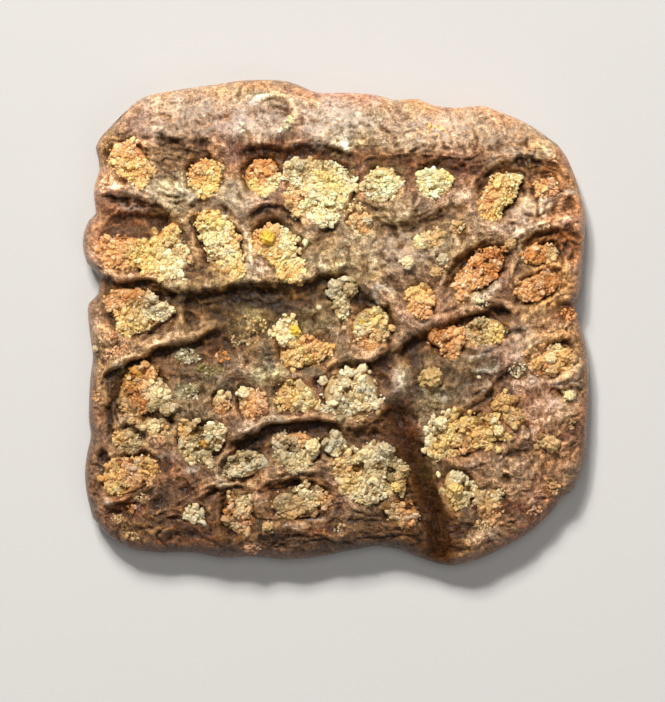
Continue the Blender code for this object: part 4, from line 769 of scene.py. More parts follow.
def plain_level(x, y):
    """Level of the bone's top as if it had no pits or folds: crown, facet, ridges and lumps."""
    level = bare_level(x, y)
    for height, width, points in RIDGES:
        level = level + height * line_relief(x, y, points, width, width)
    for *ellipse, height in LUMPS:
        level = level + height * patch(x, y, ellipse, *LUMP_SIDE)
    return level


def carved_depth(x, y):
    """How deep the pits and folds are. Where they meet, the deeper one leads."""
    cubes = np.zeros(x.shape)
    for *ellipse, depth in PITS.values():
        wall = STEEP_WALL if depth > SHALLOW else SOFT_WALL
        cubes += (depth * patch(x, y, ellipse, *wall)) ** 3
    for depth, steep, gentle, points in FOLDS:
        widths = STEEP_WIDER * steep, GENTLE_WIDER * gentle
        cubes += (depth * line_relief(x, y, points, *widths, STEEP_POWER, GENTLE_POWER)) ** 3
    return np.cbrt(cubes)


def edge_distance(x, y):
    return np.abs(from_path(x, y, OUTLINE)[0])


def rounding(distance, width):
    """Quarter-round: 0 at the edge, 1 from one width inside it."""
    return np.sqrt(1 - (1 - np.clip(distance / width, 0, 1)) ** 2)


def rim_level(x, y):
    return RIM_LEVEL + RIM_WAVE * noise(x, y, RIM_WAVE_CELL, 7)


def rounded(level, x, y):
    """A level of the top, rounded off to the rim at the plate's edge."""
    rim = rim_level(x, y)
    return rim + (level(x, y) - rim) * rounding(edge_distance(x, y), UPPER_ROUND)


def carved_level(x, y):
    return plain_level(x, y) - carved_depth(*warped(x, y, STRAYING))


def bone_bottom(x, y):
    return rim_level(x, y) * (1 - rounding(edge_distance(x, y), LOWER_ROUND))


# ---------------------------------------------------------------- the outline as a grid

def crowded(count):
    """0 to 1 in steps that are smaller towards both ends."""
    t = np.linspace(0, 1, count + 1)
    return t - EDGE_CROWDING * np.sin(2 * math.pi * t) / (2 * math.pi)


def grid_in_outline(across, along):
    """A grid of points that fills the outline: its four borders are the four sides."""
    u, v = crowded(across)[:, None], crowded(along)[None, :]
    front, right, rear, left = SIDES
    places = np.linspace(0, 1, SIDE_PLACES)

    def side(points, at):
        even = evenly(points, len(places))
        return np.stack([np.interp(at, places, even[:, k]) for k in (0, 1)], -1)

    rear_row, front_row = side(rear[::-1], u[:, 0])[:, None], side(front, u[:, 0])[:, None]
    left_row, right_row = side(left, v[0])[None], side(right[::-1], v[0])[None]
    u, v = u[..., None], v[..., None]
    corners = ((1 - u) * (1 - v) * rear_row[0, 0] + u * (1 - v) * rear_row[-1, 0]
               + (1 - u) * v * front_row[0, 0] + u * v * front_row[-1, 0])
    return (1 - v) * rear_row + v * front_row + (1 - u) * left_row + u * right_row - corners


# ---------------------------------------------------------------- the skin's own relief

# Lumps of the skin: mm between them, mm of height, and whether they have sharp crests.
LEATHER = ((3.4, 0.42, False), (1.9, 0.2, True), (1.05, 0.14, True), (0.6, 0.15, True))
LEATHER_TURN = 37           # degrees from one size of lumps to the next
# Wrinkles: mm apart, mm deep, width as a share.
WRINKLES = ((4.2, 0.34, 0.10), (2.3, 0.28, 0.11), (1.3, 0.2, 0.14), (0.8, 0.12, 0.2))
WRINKLE_STRETCH = (0.8, 1.25)  # makes them longer across the plate and closer together along it
WRINKLE_TURN = 20           # degrees from one size of wrinkles to the next
WRINKLED = (-0.2, 0.35)     # marks of the noise that wrinkles fade in between
WRINKLED_CELLS = 2.2        # distance between its hills against that between the wrinkles
SKIN_WARP = ((0.7, 3.3, 17, 18), (0.3, 1.2, 19, 16))  # how lumps and wrinkles stray, as with STRAYING
SKIN_LOW = 0.22             # mm that the skin's own relief is lowered, so that its mean is that of the solid
SKIN_EDGE_WIDTH = 1.5       # mm from the plate's edge over which the relief grows to its full height
SKIN_AT_EDGE = 0.35         # share of it at the edge
# Wrinkles from the facet's front edge to its rear: mm high, mm apart, mm long, mm that they lean per mm.
FACET_WRINKLES = (0.16, 0.8, 4.5, 0.2)
FACET_RELIEF_WIDTH = 1.5    # mm over which they fade in
FACET_SMOOTH = 0.35         # how much weaker the skin's other relief is on the facet
FACET_EDGE_WIDTH = 2.0      # mm over which the skin changes there
VALLEY_SMOOTH = 0.6         # how much weaker the relief is in the smooth valley
VALLEY_SIDE = (1.0, 2.8)    # mm from the valley's middle between which the skin changes
# Streaks along folds and ridges: mm high, mm apart, mm that they reach from the line, width by length.
STREAKS = (0.22, 0.5, 2.6, 0.2)
STREAKS_END = 2             # times that reach, up to where they are worked out
LIP = (0.16, 1.7, 0.9)      # the lip above a fold: height as a share of its depth, mm from it, mm of width
LIPLESS = 1                 # mm, width from which the steep side of a fold has no lip
LIP_REACH = 4               # mm from a fold up to where its lip is worked out

BOX_ROOM = 1.15             # size of the box round a plug of sand against the plug
MOAT = 0.25                 # mm, depth of the gap between a plug of sand and the bone in front of it
MOAT_BAND = (1.13, 0.14)    # its middle and width as shares of the plug's size
WALL_BAND = (1.2, 0.2)      # the same of the band of painted shade on the bone in front of the plug
BAND_REACH = 2              # mm round a plug's box up to where they are worked out
BAND_AHEAD = (-0.1, 0.8)    # shares of a plug's half length between which they fade in towards its front
BAND_MEAN = 0.6             # how strong they are, how much that varies, and mm from one change to the next
BAND_VARIES = 0.6
BAND_CELL = 2.2


def in_valley(x, y):
    """1 in the smooth valley, 0 outside it."""
    return 1 - smooth_step(*VALLEY_SIDE, np.abs(from_path(x, y, VALLEY_LINE)[0]))


def skin_strength(x, y):
    """How strong the bone's skin relief is: weak in the smooth valley, weaker on the facet than elsewhere."""
    return (1 - VALLEY_SMOOTH * in_valley(x, y)) * (1 - FACET_SMOOTH * on_facet(x, y, FACET_EDGE_WIDTH))


def fine_relief(x, y):
    """Small lumps and wrinkles of the bone's skin."""
    wx, wy = warped(x, y, SKIN_WARP)
    out = np.zeros(x.shape)
    for k, (cell, height, crested) in enumerate(LEATHER):
        hills = noise(*turned(wx, wy, LEATHER_TURN * k), cell, 30 + k)
        out += height * (ribbed(hills) if crested else hills)
    across, along = WRINKLE_STRETCH
    for k, (cell, depth, width) in enumerate(WRINKLES):
        line = noise(*turned(wx * across, wy * along, WRINKLE_TURN * k), cell, 45 + k)
        there = smooth_step(*WRINKLED, noise(wx, wy, cell * WRINKLED_CELLS, 55 + k))
        out -= depth * there * bell(line, width)
    height, apart, length, slant = FACET_WRINKLES
    ribs = ribbed(noise((wx + slant * wy) / apart, wy / length, 1.0, 66))
    out += on_facet(x, y, FACET_RELIEF_WIDTH) * height * ribs
    return out - SKIN_LOW


def streaks(x, y):
    """Fine streaks of the skin that follow each fold and ridge."""
    height, apart, reach, stretch = STREAKS
    out = np.zeros(x.shape)
    for k, (*_, points) in enumerate(FOLDS + RIDGES):
        near, distance, end = near_line(x, y, points, STREAKS_END * reach)
        lines = ribbed(noise(distance, end * stretch, apart, 200 + k))
        out[near] += height * lines * bell(distance, reach) * faded(end)
    return out


def fold_lips(x, y):
    """The raised lip along the steep side of each narrow fold."""
    height, place, width = LIP
    out = np.zeros(x.shape)
    for depth, steep, _, points in FOLDS:
        if steep < LIPLESS:
            near, distance, end = near_line(x, y, points, LIP_REACH)
            out[near] += depth * faded(end) * (height * bell(distance - place, width))
    return out


def fine_lines(x, y):
    return sum(height * line_relief(x, y, points, width, width) for height, width, points in FINE_LINES)


def lobes_box(lobes):
    """Lowest and highest corner (mm) of a box round the ellipses of a plug, with a little room."""
    centres = plan_mm([lobe[:2] for lobe in lobes])
    reach = np.array([max(lobe[2:4]) for lobe in lobes])[:, None] * SQUARE * BOX_ROOM
    return (centres - reach).min(0), (centres + reach).max(0)


def plug_field(x, y, lobes):
    """0 in the middle of a plug's plan and 1 on its edge."""
    return np.sum([(from_ellipse(x, y, *lobe) + 1e-6) ** -4 for lobe in lobes], axis=0) ** -0.25


def before_plugs(x, y, middle_line, width):
    """1 on a band along the front side of each plug of sand, at a share of the plug's size."""
    out = np.zeros(x.shape)
    for lobes, _ in SAND.values():
        low, high = lobes_box(lobes)
        near = near_box(x, y, low, high, BAND_REACH)
        field = plug_field(x[near], y[near], lobes)
        middle, half = (low[1] + high[1]) / 2, (high[1] - low[1]) / 2
        ahead = (smooth_step(*BAND_AHEAD, (y[near] - middle) / half)
                 * (BAND_MEAN + BAND_VARIES * noise(x[near], y[near], BAND_CELL, 94)))
        out[near] = np.maximum(out[near], ahead * bell(field - middle_line, width))
    return out


def fine_top(x, y):
    """Level of the bone's top with all its relief."""
    inside = smooth_step(0, SKIN_EDGE_WIDTH, edge_distance(x, y))
    skin = (fine_relief(x, y) + streaks(x, y)) * skin_strength(x, y)
    lines = fold_lips(x, y) + fine_lines(*warped(x, y, STRAYING))
    relief = (skin + lines) * (SKIN_AT_EDGE + (1 - SKIN_AT_EDGE) * inside)
    return rounded(carved_level, x, y) + relief - MOAT * before_plugs(x, y, *MOAT_BAND) * inside


class Raster:
    """A height sampled once on a fine square raster and read between its points."""

    def __init__(self, height):
        self.low = -RASTER_HALF
        at = np.arange(-RASTER_HALF, RASTER_HALF + RASTER_CELL, RASTER_CELL)
        self.values = height(*np.meshgrid(at, at, indexing="ij"))

    def __call__(self, x, y):
        u, v = (x - self.low) / RASTER_CELL, (y - self.low) / RASTER_CELL
        i = np.clip(np.floor(u).astype(int), 0, len(self.values) - 2)
        j = np.clip(np.floor(v).astype(int), 0, len(self.values) - 2)
        u, v = u - i, v - j
        t = self.values
        return ((t[i, j] * (1 - u) + t[i + 1, j] * u) * (1 - v)
                + (t[i, j + 1] * (1 - u) + t[i + 1, j + 1] * u) * v)


def blurred(values, cells):
    """A raster's values, averaged over a square of the given half side."""
    span = 2 * cells + 1
    for axis in (0, 1):
        room = [(cells + 1, cells) if k == axis else (0, 0) for k in (0, 1)]
        total = np.swapaxes(np.cumsum(np.pad(values, room, mode="edge"), axis), 0, axis)
        values = np.swapaxes((total[span:] - total[:-span]) / span, 0, axis)
    return values


# ---------------------------------------------------------------- meshes

def new_mesh_object(name, points, faces, smooth=True):
    """An object from points in mm and an array of triangles or quads."""
    mesh = bpy.data.meshes.new(name)
    mesh.vertices.add(len(points))
    mesh.vertices.foreach_set("co", (np.asarray(points) * MM).astype(np.float32).ravel())
    faces = np.asarray(faces)
    mesh.loops.add(faces.size)
    mesh.loops.foreach_set("vertex_index", faces.astype(np.int32).ravel())
    mesh.polygons.add(len(faces))
    mesh.polygons.foreach_set("loop_start", np.arange(0, faces.size, faces.shape[1], dtype=np.int32))
    mesh.update(calc_edges=True)
    if smooth:
        mesh.shade_smooth()
    else:
        mesh.shade_flat()
    piece = bpy.data.objects.new(name, mesh)
    bpy.context.collection.objects.link(piece)
    return piece


def paint(mesh, name, colours):
    """A colour for each vertex, as an attribute that a material reads."""
    layer = mesh.attributes.new(name, "FLOAT_COLOR", "POINT")
    rgba = np.ones((len(mesh.vertices), 4), np.float32)
    rgba[:, :3] = colours
    layer.data.foreach_set("color", rgba.ravel())


# ---------------------------------------------------------------- the bone

def flecks(x, y, seed):
    """1 on small flecks that lie along the folds and ridges, 0 between them."""
    u, v = turned(x, y, FLECK_TURN)
    size, stretch, marks = FREE_FLECKS
    out = smooth_step(*marks, noise(u / stretch, v, size, seed))
    size, stretch, marks = LINE_FLECKS
    for k, (*_, points) in enumerate(FOLDS + RIDGES):
        near, distance, end = near_line(x, y, points, FLECK_REACH)
        fleck = smooth_step(*marks, noise(distance, end / stretch, size, seed + k))
        share = bell(distance, FLECK_FOLLOW)
        out[near] = out[near] * (1 - share) + fleck * share
    return out


def bone_colour(x, y):
    """Tint of the bone: stains over a brown ground, with painted shade in hollows and folds (partly dark
    patina), and painted light on ridges and in glints.
    """
    colour = np.tile(np.array(rgb(BONE_BROWN)), (len(x), 1))
    wx, wy = warped(x, y, STAIN_AND_LIGHT_WARP)
    # Stains, and painted shade and painted highlights, laid over the ground in turn.
    for *ellipse, hue, strength in STAINS_AND_PAINTED_LIGHT:
        cover = strength * patch(wx, wy, ellipse, *STAIN_AND_LIGHT_EDGE)[:, None]
        colour = colour * (1 - cover) + np.array(rgb(hue)) * cover
    # Painted shade on the facet, which faces the lamps.
    colour = colour * np.array(BRIGHT) * (1 - FACET_SHADE * on_facet(x, y, FACET_EDGE_WIDTH)[:, None])
    for k, (cell, change) in enumerate(PATCHES):
        colour = colour * np.exp(noise(wx, wy, cell, 56 + k)[:, None] * np.array(change))
    flecked = 1 - VALLEY_SMOOTH * in_valley(x, y)
    # Dark specks, and light flecks that are partly painted glints along the folds and ridges.
    light, dark = ((flecks(x, y, seed) * flecked)[:, None] for seed in (300, 400))
    colour = colour * (1 - FLECK * dark * (1 - np.array(FLECK_DARK)))
    lighter = colour * np.array(GLINT_FLECK_LIGHT) + np.array(GLINT_FLECK_ADDS)
    colour = colour * (1 - FLECK * light) + lighter * FLECK * light
    from_edge = edge_distance(x, y)
    inside = smooth_step(*SHADE_EDGE, from_edge)
    # Painted shade in small hollows and painted light on small ridges.
    for relief, full in ((HOLLOWS, HOLLOW_FULL), (DIMPLES, DIMPLE_FULL)):
        depth = (relief(x, y) / full * inside)[:, None]
        colour = colour * np.exp(-np.clip(depth, 0, DARKEST_HOLLOW) * np.array(HOLLOW_PAINTED_SHADE))
        colour = colour * np.exp(np.clip(-depth, 0, LIGHTEST_RIDGE) * np.array(RIDGE_PAINTED_LIGHT))
    for *ellipse, tone, cover in SMEARS:
        dusted = DUST * cover * patch(wx, wy, ellipse, *DUST_EDGE)[:, None]
        colour = colour * (1 - dusted) + DUST_TONE * np.array(TONES[tone]) * dusted
    # Painted shade in broad hollows, and painted light on what stands above the bare level.
    colour = colour * np.exp(-np.clip(BASINS(x, y) * inside, *BASIN_RANGE)[:, None] * np.array(BASIN_PAINTED_SHADE))
    # Lighter on the worn edge in front, painted shade on the edge in the rear.
    edge_wear_and_shade = 1 - smooth_step(*WORN_WIDTH, from_edge + WORN_WAVE * noise(x, y, WORN_CELL, 54))
    lighter = (edge_wear_and_shade * (REAR_SHADE + y / REAR_AT))[:, None]
    colour = colour * np.exp(np.where(lighter > 0, lighter * WORN_EDGE, lighter * REAR_EDGE_PAINTED_SHADE))
    # Painted shade in the folds and on the pit walls in front of the plugs of sand.
    dark = np.maximum(CREASE_SHADE_MASK(x, y), WALL_PAINTED_SHADE * before_plugs(x, y, *WALL_BAND))
    return colour * np.exp(-dark[:, None] * np.array(CREASE_PAINTED_SHADE))


def crease_shade(x, y):
    """How much painted shade the bone has in folds, partly dark patina: crisp under a fold's lip, soft
    towards its gentle side.
    """
    shade = np.zeros(x.shape)
    for depth, steep, gentle, points in FOLDS:
        near, t, end = near_line(x, y, points, CREASE_REACH * gentle + 1)
        soft = gentle * (CREASE_WIDER + CREASE_VARIES * noise(x[near], y[near], CREASE_CELL, 95))
        power = np.where(t > 0, *CREASE_POWERS)
        fold = min(1, depth / FULL_SHADE) * np.exp(-(np.abs(t) / np.where(t > 0, steep, soft)) ** power)
        shade[near] = np.maximum(shade[near], fold * faded(end))
    return shade


def chalk_and_glint_cover(x, y):
    """How much of the skin is chalky or carries a painted highlight: patches of them, on the high places."""
    cover = np.zeros(len(x))
    wx, wy = warped(x, y, CHALK_WARP)
    for *ellipse, strength in CHALK_AND_GLINTS:
        cover = np.maximum(cover, strength * patch(wx, wy, ellipse, *CHALK_EDGE))
    return cover * (1 - smooth_step(0.0, CHALK_DEPTH, HOLLOWS(x, y)))


def bone_wear_and_glints(x, y):
    """Three shares that the bone's material reads: chalk and painted highlights, gloss and relief, and
    scratches.
    """
    valley = in_valley(x, y)
    gloss = (1 - VALLEY_MATT * valley) * (1 - CREASE_MATT * np.clip(CREASE_SHADE_MASK(x, y), 0, 1))
    scratched = SCRATCHED + FACET_SCRATCHED * on_facet(x, y, FACET_EDGE_WIDTH) - VALLEY_UNSCRATCHED * valley
    return np.stack([chalk_and_glint_cover(x, y), gloss, scratched], 1)


def thin_out(piece, share):
    """Replaces a piece's mesh with one of that share of its triangles."""
    thin = piece.modifiers.new("thin", "DECIMATE")
    thin.ratio = share
    thinned = bpy.data.meshes.new_from_object(piece.evaluated_get(bpy.context.evaluated_depsgraph_get()))
    piece.modifiers.clear()
    piece.data = thinned
    thinned.shade_smooth()
    return thinned


def make_bone(material):
    plan = grid_in_outline(*BONE_GRID)
    x, y = plan[..., 0], plan[..., 1]
    top, bottom = np.minimum(fine_top(x, y), HIGHEST), bone_bottom(x, y)
    border = np.zeros(x.shape, bool)
    border[[0, -1]] = border[:, [0, -1]] = True
    top[border] = rim_level(x, y)[border]
    upper = np.arange(x.size).reshape(x.shape)
    lower = upper.copy()
    lower[~border] = x.size + np.arange(np.count_nonzero(~border))
    points = np.vstack([np.stack([x, y, top], -1).reshape(-1, 3), np.stack([x, y, bottom], -1)[~border]])

    def cells(index):
        return np.stack([index[:-1, :-1], index[1:, :-1], index[1:, 1:], index[:-1, 1:]], -1).reshape(-1, 4)

    faces = np.vstack([cells(upper), cells(lower)[:, ::-1]])
    bone = new_mesh_object("bone", points, faces)
    mesh = thin_out(bone, BONE_FACES / (2 * len(faces)))
    co = np.empty(len(mesh.vertices) * 3, np.float32)
    mesh.vertices.foreach_get("co", co)
    x, y, _ = (co.reshape(-1, 3).astype(float) / MM).T
    paint(mesh, "tint", bone_colour(x, y))
    paint(mesh, "wear_and_glints", bone_wear_and_glints(x, y))
    mesh.materials.clear()
    mesh.materials.append(material)
    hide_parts("scute")
    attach(bone, "root")


# ---------------------------------------------------------------- grains

ROUGHEST = 1.5              # most that one corner lies in or out, against how rough the form is


def ball():
    """Corners and triangles of an icosahedron."""
    p = (1 + 5 ** 0.5) / 2
    corners = [(-1, p, 0), (1, p, 0), (-1, -p, 0), (1, -p, 0), (0, -1, p), (0, 1, p), (0, -1, -p), (0, 1, -p),
               (p, 0, -1), (p, 0, 1), (-p, 0, -1), (-p, 0, 1)]
    faces = [(0, 11, 5), (0, 5, 1), (0, 1, 7), (0, 7, 10), (0, 10, 11), (1, 5, 9), (5, 11, 4), (11, 10, 2),
             (10, 7, 6), (7, 1, 8), (3, 9, 4), (3, 4, 2), (3, 2, 6), (3, 6, 8), (3, 8, 9), (4, 9, 5),
             (2, 4, 11), (6, 2, 10), (8, 6, 7), (9, 8, 1)]
    corners = np.array(corners, float)
    return corners / np.linalg.norm(corners[0]), np.array(faces)


def finer(corners, faces):
    """The same ball with each triangle split in four."""
    corners, index, out = [tuple(c) for c in corners], {}, []

    def middle(a, b):
        key = (min(a, b), max(a, b))
        if key not in index:
            m = (np.array(corners[a]) + np.array(corners[b])) / 2
            index[key] = len(corners)
            corners.append(tuple(m / np.linalg.norm(m)))
        return index[key]

    for a, b, c in faces:
        ab, bc, ca = middle(a, b), middle(b, c), middle(c, a)
        out += [(a, ab, ca), (b, bc, ab), (c, ca, bc), (ab, bc, ca)]
    return np.array(corners), np.array(out)


# Each form of grain: its ball, how rough it is, and how much its length and width differ.
SMALL_FORM = (ball(), 0.24, 0.28)
MID_FORM = (finer(*SMALL_FORM[0]), 0.17, 0.28)
LARGE_FORM = (finer(*MID_FORM[0]), 0.17, 0.12)


def random_turns(count, rng):
    """Rotation matrices that turn each grain its own way."""
    q = rng.normal(size=(count, 4))
    w, i, j, k = (q / np.linalg.norm(q, axis=1)[:, None]).T
    return np.stack([1 - 2 * (j * j + k * k), 2 * (i * j - k * w), 2 * (i * k + j * w),
                     2 * (i * j + k * w), 1 - 2 * (i * i + k * k), 2 * (j * k - i * w),
                     2 * (i * k - j * w), 2 * (j * k + i * w), 1 - 2 * (i * i + j * j)], 1).reshape(-1, 3, 3)


def grains(places, radii, colours, rng, form):
    """Points, faces and colours of rough grains of one form at the given places."""
    (corners, faces), roughness, spread = form
    n, m = len(places), len(corners)
    rough = 1 + roughness * rng.normal(size=(n, m, 1)).clip(-ROUGHEST, ROUGHEST)
    stretch = np.exp(spread * rng.normal(size=(n, 1, 3)))
    shape = corners[None] * rough * stretch
    shape = np.einsum("nij,nmj->nmi", random_turns(n, rng), shape) * radii[:, None, None]
    points = (shape + places[:, None]).reshape(-1, 3)
    all_faces = (faces[None] + (np.arange(n) * m)[:, None, None]).reshape(-1, 3)
    return points, all_faces, np.repeat(colours, m, axis=0)


def joined(groups):
    """One set of points, faces and colours out of several."""
    points, faces, colours = zip(*groups)
    starts = np.cumsum([0] + [len(p) for p in points])
    return np.vstack(points), np.vstack([f + start for f, start in zip(faces, starts)]), np.vstack(colours)


# ---------------------------------------------------------------- the sand

# The cement under the grains.
GAP_MARKS = (0.42, 0.75)    # marks of the noise that gaps between clumps of sand begin and are full at
GAP_CELL = 0.95             # mm between its hills
HOLE_DEPTH = 1.7            # how deep a hole is against such a gap
HOLE_EDGE = (0.6, 1.25)     # shares of a hole's size between which it ends
GAP_DEPTH = 0.5             # mm
SAND_SAG = 0.35             # mm that a plug's top drops from its middle to its edge
SAG_END = 1.2               # share of the plug's size up to which it drops
SAND_HILLS = ((0.36, 1.9, 5), (0.24, 0.9, 6))  # mm of height, mm apart, seed
THINNEST_SAND = 0.1         # mm that it stands above the bone at least
CRUST_TURNS, CRUST_RINGS = 56, 14  # its corners round the plug, and from the middle to the edge
CRUST_REACH, CRUST_STEPS = 60, 500  # squares from a plug's middle in which its edge is looked for, and steps
CRUST_DIVES = 0.94          # share of the plug's size from which it dives into the bone
DIVE_DEPTH = 0.15           # mm below the bone that it dives to
CRUST_THICK = 0.3           # mm, its thickness
UNDER_BONE = 0.25           # mm that its lower side lies in the bone at least

# Where the grains lie.
ROW_SPACING = 0.87          # distance between rows of grains against that in a row
SHAKE = 0.35                # how far a grain strays from its place, against the distance
# Layers of grains in a plug: mm between them, mm of radius, mm that they stand above the cement.
LAYERS = ((0.36, 0.19, -0.04), (0.55, 0.25, 0.04), (1.4, 0.34, 0.06))
RAGGED = ((0.3, 2.1), (0.2, 0.9))  # how uneven a plug's edge is: share of its size, mm between the changes
GRAINS_END = 0.99           # share of the plug's size that its grains reach
LIFT_VARIES = 0.08          # mm that the height of neighbouring grains differs
LOOSE = (0.6, 0.16, 1.22)   # mm between the loose grains round a plug, mm of radius, how far out they lie
LOOSE_FROM = 0.95           # share of the plug's size from which they become rarer
ON_BONE = 0.06              # mm above the bone of a grain that lies on it
SMEAR_GRAINS = (0.34, 0.19)  # mm between the grains of a smear, mm of radius
SMEAR_RAGGED, SMEAR_CELL = 0.25, 0.9  # how uneven its edge is, and mm from one change to the next

# Sizes and colours of the grains.
SIZE_VARIES = 0.28          # how much neighbouring sizes differ
SIZE_RANGE = (0.6, 1.8)     # smallest and largest against the mean
SMALLEST_MID = 0.33         # mm, radius from which a grain has the finer form
LARGE_LIFT = 0.4            # share of its radius that the middle of a large grain stands above the cement
TONE_WARP = ((0.9, 1.6, 80, 81),)  # how the tones stray, as with STRAYING
TONE_BLEND = 0.5            # mm, makes neighbouring tones run into each other
MILKY_SHARE = 0.12          # share of the grains that are milky
MILKINESS = 0.35            # how milky they are
GRAIN_VARIES = 0.14         # how much the brightness of neighbouring grains differs
GRAIN_HUE = (0.0, 0.05, 0.12)  # how much their green and blue differ more than their red
SAND_BRIGHT = 1.08          # brightness of the sand in the middle of the plate
SAND_PAINTED_LIGHT = 0.32        # painted light: how much brighter it is at the front edge, where the light falls more strongly
SAND_AHEAD = 36             # mm from the middle to the front edge
GAP_PAINTED_SHADE = (0.6, 0.75, 1.0)  # painted shade: how much darker red, green and blue are in the gaps between clumps and in holes
GAP_LIGHTER = 0.8           # how much less so at the front edge
CRUST_SHADE = (0.66, 0.55, 0.4)  # red, green and blue of the cement against the grains: partly its own darker colour, partly painted shade between the grains


def gap_between(x, y):
    """How deep a place lies in the dark gaps between clumps of sand: 0 on the clumps."""
    gap = smooth_step(*GAP_MARKS, noise(x, y, GAP_CELL, 8))
    for hole in HOLES:
        gap = np.maximum(gap, HOLE_DEPTH * patch(x, y, hole, *HOLE_EDGE))
    return gap


def sand_level(x, y, lobes, recess):
    """Level of the cement under a plug's grains."""
    sag = SAND_SAG * np.clip(plug_field(x, y, lobes), 0, SAG_END) ** 2
    level = PLAIN(x, y) - recess - sag
    for height, cell, seed in SAND_HILLS:
        level = level + height * noise(x, y, cell, seed)
    return np.maximum(level - GAP_DEPTH * gap_between(x, y), BONE(x, y) + THINNEST_SAND)


def scatter(box, spacing, rng):
    """Places in a box (mm), about one spacing apart: rows of them, shaken."""
    low, high = box
    nx, ny = (int((high[k] - low[k]) / spacing) + 2 for k in (0, 1))
    i, j = np.meshgrid(np.arange(nx), np.arange(ny), indexing="ij")
    x = low[0] + (i + 0.5 * (j % 2)) * spacing
    y = low[1] + j * spacing * ROW_SPACING
    shake = rng.uniform(-SHAKE, SHAKE, size=(2,) + x.shape) * spacing
    return (x + shake[0]).ravel(), (y + shake[1]).ravel()


def tone_colours(x, y, spots, rng):
    """A colour for each grain, blended from the tones of the spots near it, with painted light towards the
    front edge and painted shade in the gaps.
    """
    places = plan_mm([spot[1:3] for spot in spots])
    wx, wy = warped(x, y, TONE_WARP)
    share = (np.hypot(wx[:, None] - places[:, 0], wy[:, None] - places[:, 1]) + TONE_BLEND) ** -4
    share /= share.sum(1, keepdims=True)
    out = share @ np.array([TONES[spot[0]] for spot in spots])
    milky = MILKY_SHARE > rng.uniform(size=(len(x), 1))
    out = np.where(milky, (1 - MILKINESS) * out + MILKINESS * np.array(TONES["white"]), out)
    # Painted light towards the front edge, and painted shade in the gaps and holes.
    ahead = (y / SAND_AHEAD)[:, None]
    out *= ((SAND_BRIGHT + SAND_PAINTED_LIGHT * ahead)
            * np.exp(-gap_between(x, y)[:, None] * (1 - GAP_LIGHTER * ahead) * np.array(GAP_PAINTED_SHADE)))
    brightness, hue = (rng.normal(size=(len(x), 1)) for _ in range(2))
    return out * np.exp(brightness * GRAIN_VARIES + hue * GRAIN_HUE)


def crust_outline(lobes, middle, angle):
    """How far the crust of a plug reaches from its middle at each angle: evened out from one to the next."""
    reach = np.linspace(0, CRUST_REACH * SQUARE, CRUST_STEPS)[:, None]
    field = plug_field(middle[0] + reach * np.cos(angle), middle[1] + reach * np.sin(angle), lobes)
    edge = np.array([reach[np.nonzero(field[:, k] <= 1)[0][-1], 0] for k in range(len(angle))])
    return (edge + np.roll(edge, 1) + np.roll(edge, -1)) / 3


def crust(lobes, recess, spots, rng):
    """The cement under a plug's grains: a lumpy sheet that dives into the bone round its edge."""
    turns, rings = CRUST_TURNS, CRUST_RINGS
    middle = plan_mm([lobe[:2] for lobe in lobes]).mean(0)
    angle = np.arange(turns) * 2 * math.pi / turns
    share = (np.arange(1, rings + 1) / rings)[:, None]
    away = share * crust_outline(lobes, middle, angle)
    x = np.append((middle[0] + away * np.cos(angle)).ravel(), middle[0])
    y = np.append((middle[1] + away * np.sin(angle)).ravel(), middle[1])
    bone = BONE(x, y)
    outer = np.append(np.repeat(share[:, 0], turns), 0)
    z = np.where(outer > CRUST_DIVES, bone - DIVE_DEPTH, sand_level(x, y, lobes, recess))
    below = np.minimum(z - CRUST_THICK, bone - UNDER_BONE)
    n = len(x)
    points = np.vstack([np.stack([x, y, z], 1), np.stack([x, y, below], 1)])
    k = np.arange(turns)
    after = (k + 1) % turns
    faces = [np.stack([np.full(turns, n - 1), k, after], 1)]

    def band(a, b):
        """Triangles between the ring that starts at corner a and the one that starts at b."""
        return [np.stack([a + k, b + k, b + after], 1), np.stack([a + k, b + after, a + after], 1)]

    for ring in range(rings - 1):
        faces += band(ring * turns, (ring + 1) * turns)
    faces = np.vstack(faces)
    last = (rings - 1) * turns
    all_faces = np.vstack([faces, faces[:, ::-1] + n, *band(last, n + last)])
    # The cement is darker: partly its own colour, partly painted shade between the grains.
    colours = tone_colours(points[:, 0], points[:, 1], spots, rng) * CRUST_SHADE
    return points, all_faces, colours


def grain_groups(x, y, z, spots, rng, radius):
    """Grains at the places given: most of them small, a few of them several times as large."""
    radii = radius * np.exp(SIZE_VARIES * rng.normal(size=len(x))).clip(*SIZE_RANGE)
    colours = tone_colours(x, y, spots, rng)
    groups = []
    for form, chosen in ((SMALL_FORM, radii < SMALLEST_MID), (MID_FORM, radii >= SMALLEST_MID)):
        if chosen.any():
            places = np.stack([x, y, z], 1)[chosen]
            groups.append(grains(places, radii[chosen], colours[chosen], rng, form))
    return groups


def large_grains(chosen, level, rng):
    """The single large grains that are in the list given."""
    groups = []
    for x, y, radius, tone in chosen:
        (mx, my), = plan_mm([(x, y)])
        size = radius * SQUARE
        height = level(np.array([mx]), np.array([my]))[0] + LARGE_LIFT * size
        colour = np.array(TONES[tone])[None]
        groups.append(grains(np.array([[mx, my, height]]), np.array([size]), colour, rng, LARGE_FORM))
    return groups


def finish_sand(name, groups, material, node=None):
    points, faces, colours = joined(groups)
    points[:, 2] = np.minimum(points[:, 2], HIGHEST)
    piece = new_mesh_object(name, points, faces, smooth=False)
    paint(piece.data, "tint", colours.clip(0, 1))
    piece.data.materials.append(material)
    if node:
        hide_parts(node)
    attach(piece, "root")


def in_plug(grain, lobes):
    """Whether a large grain lies in a plug."""
    x, y = plan_mm([grain[:2]]).T
    return plug_field(x[:, None], y[:, None], lobes)[0, 0] < 1.0


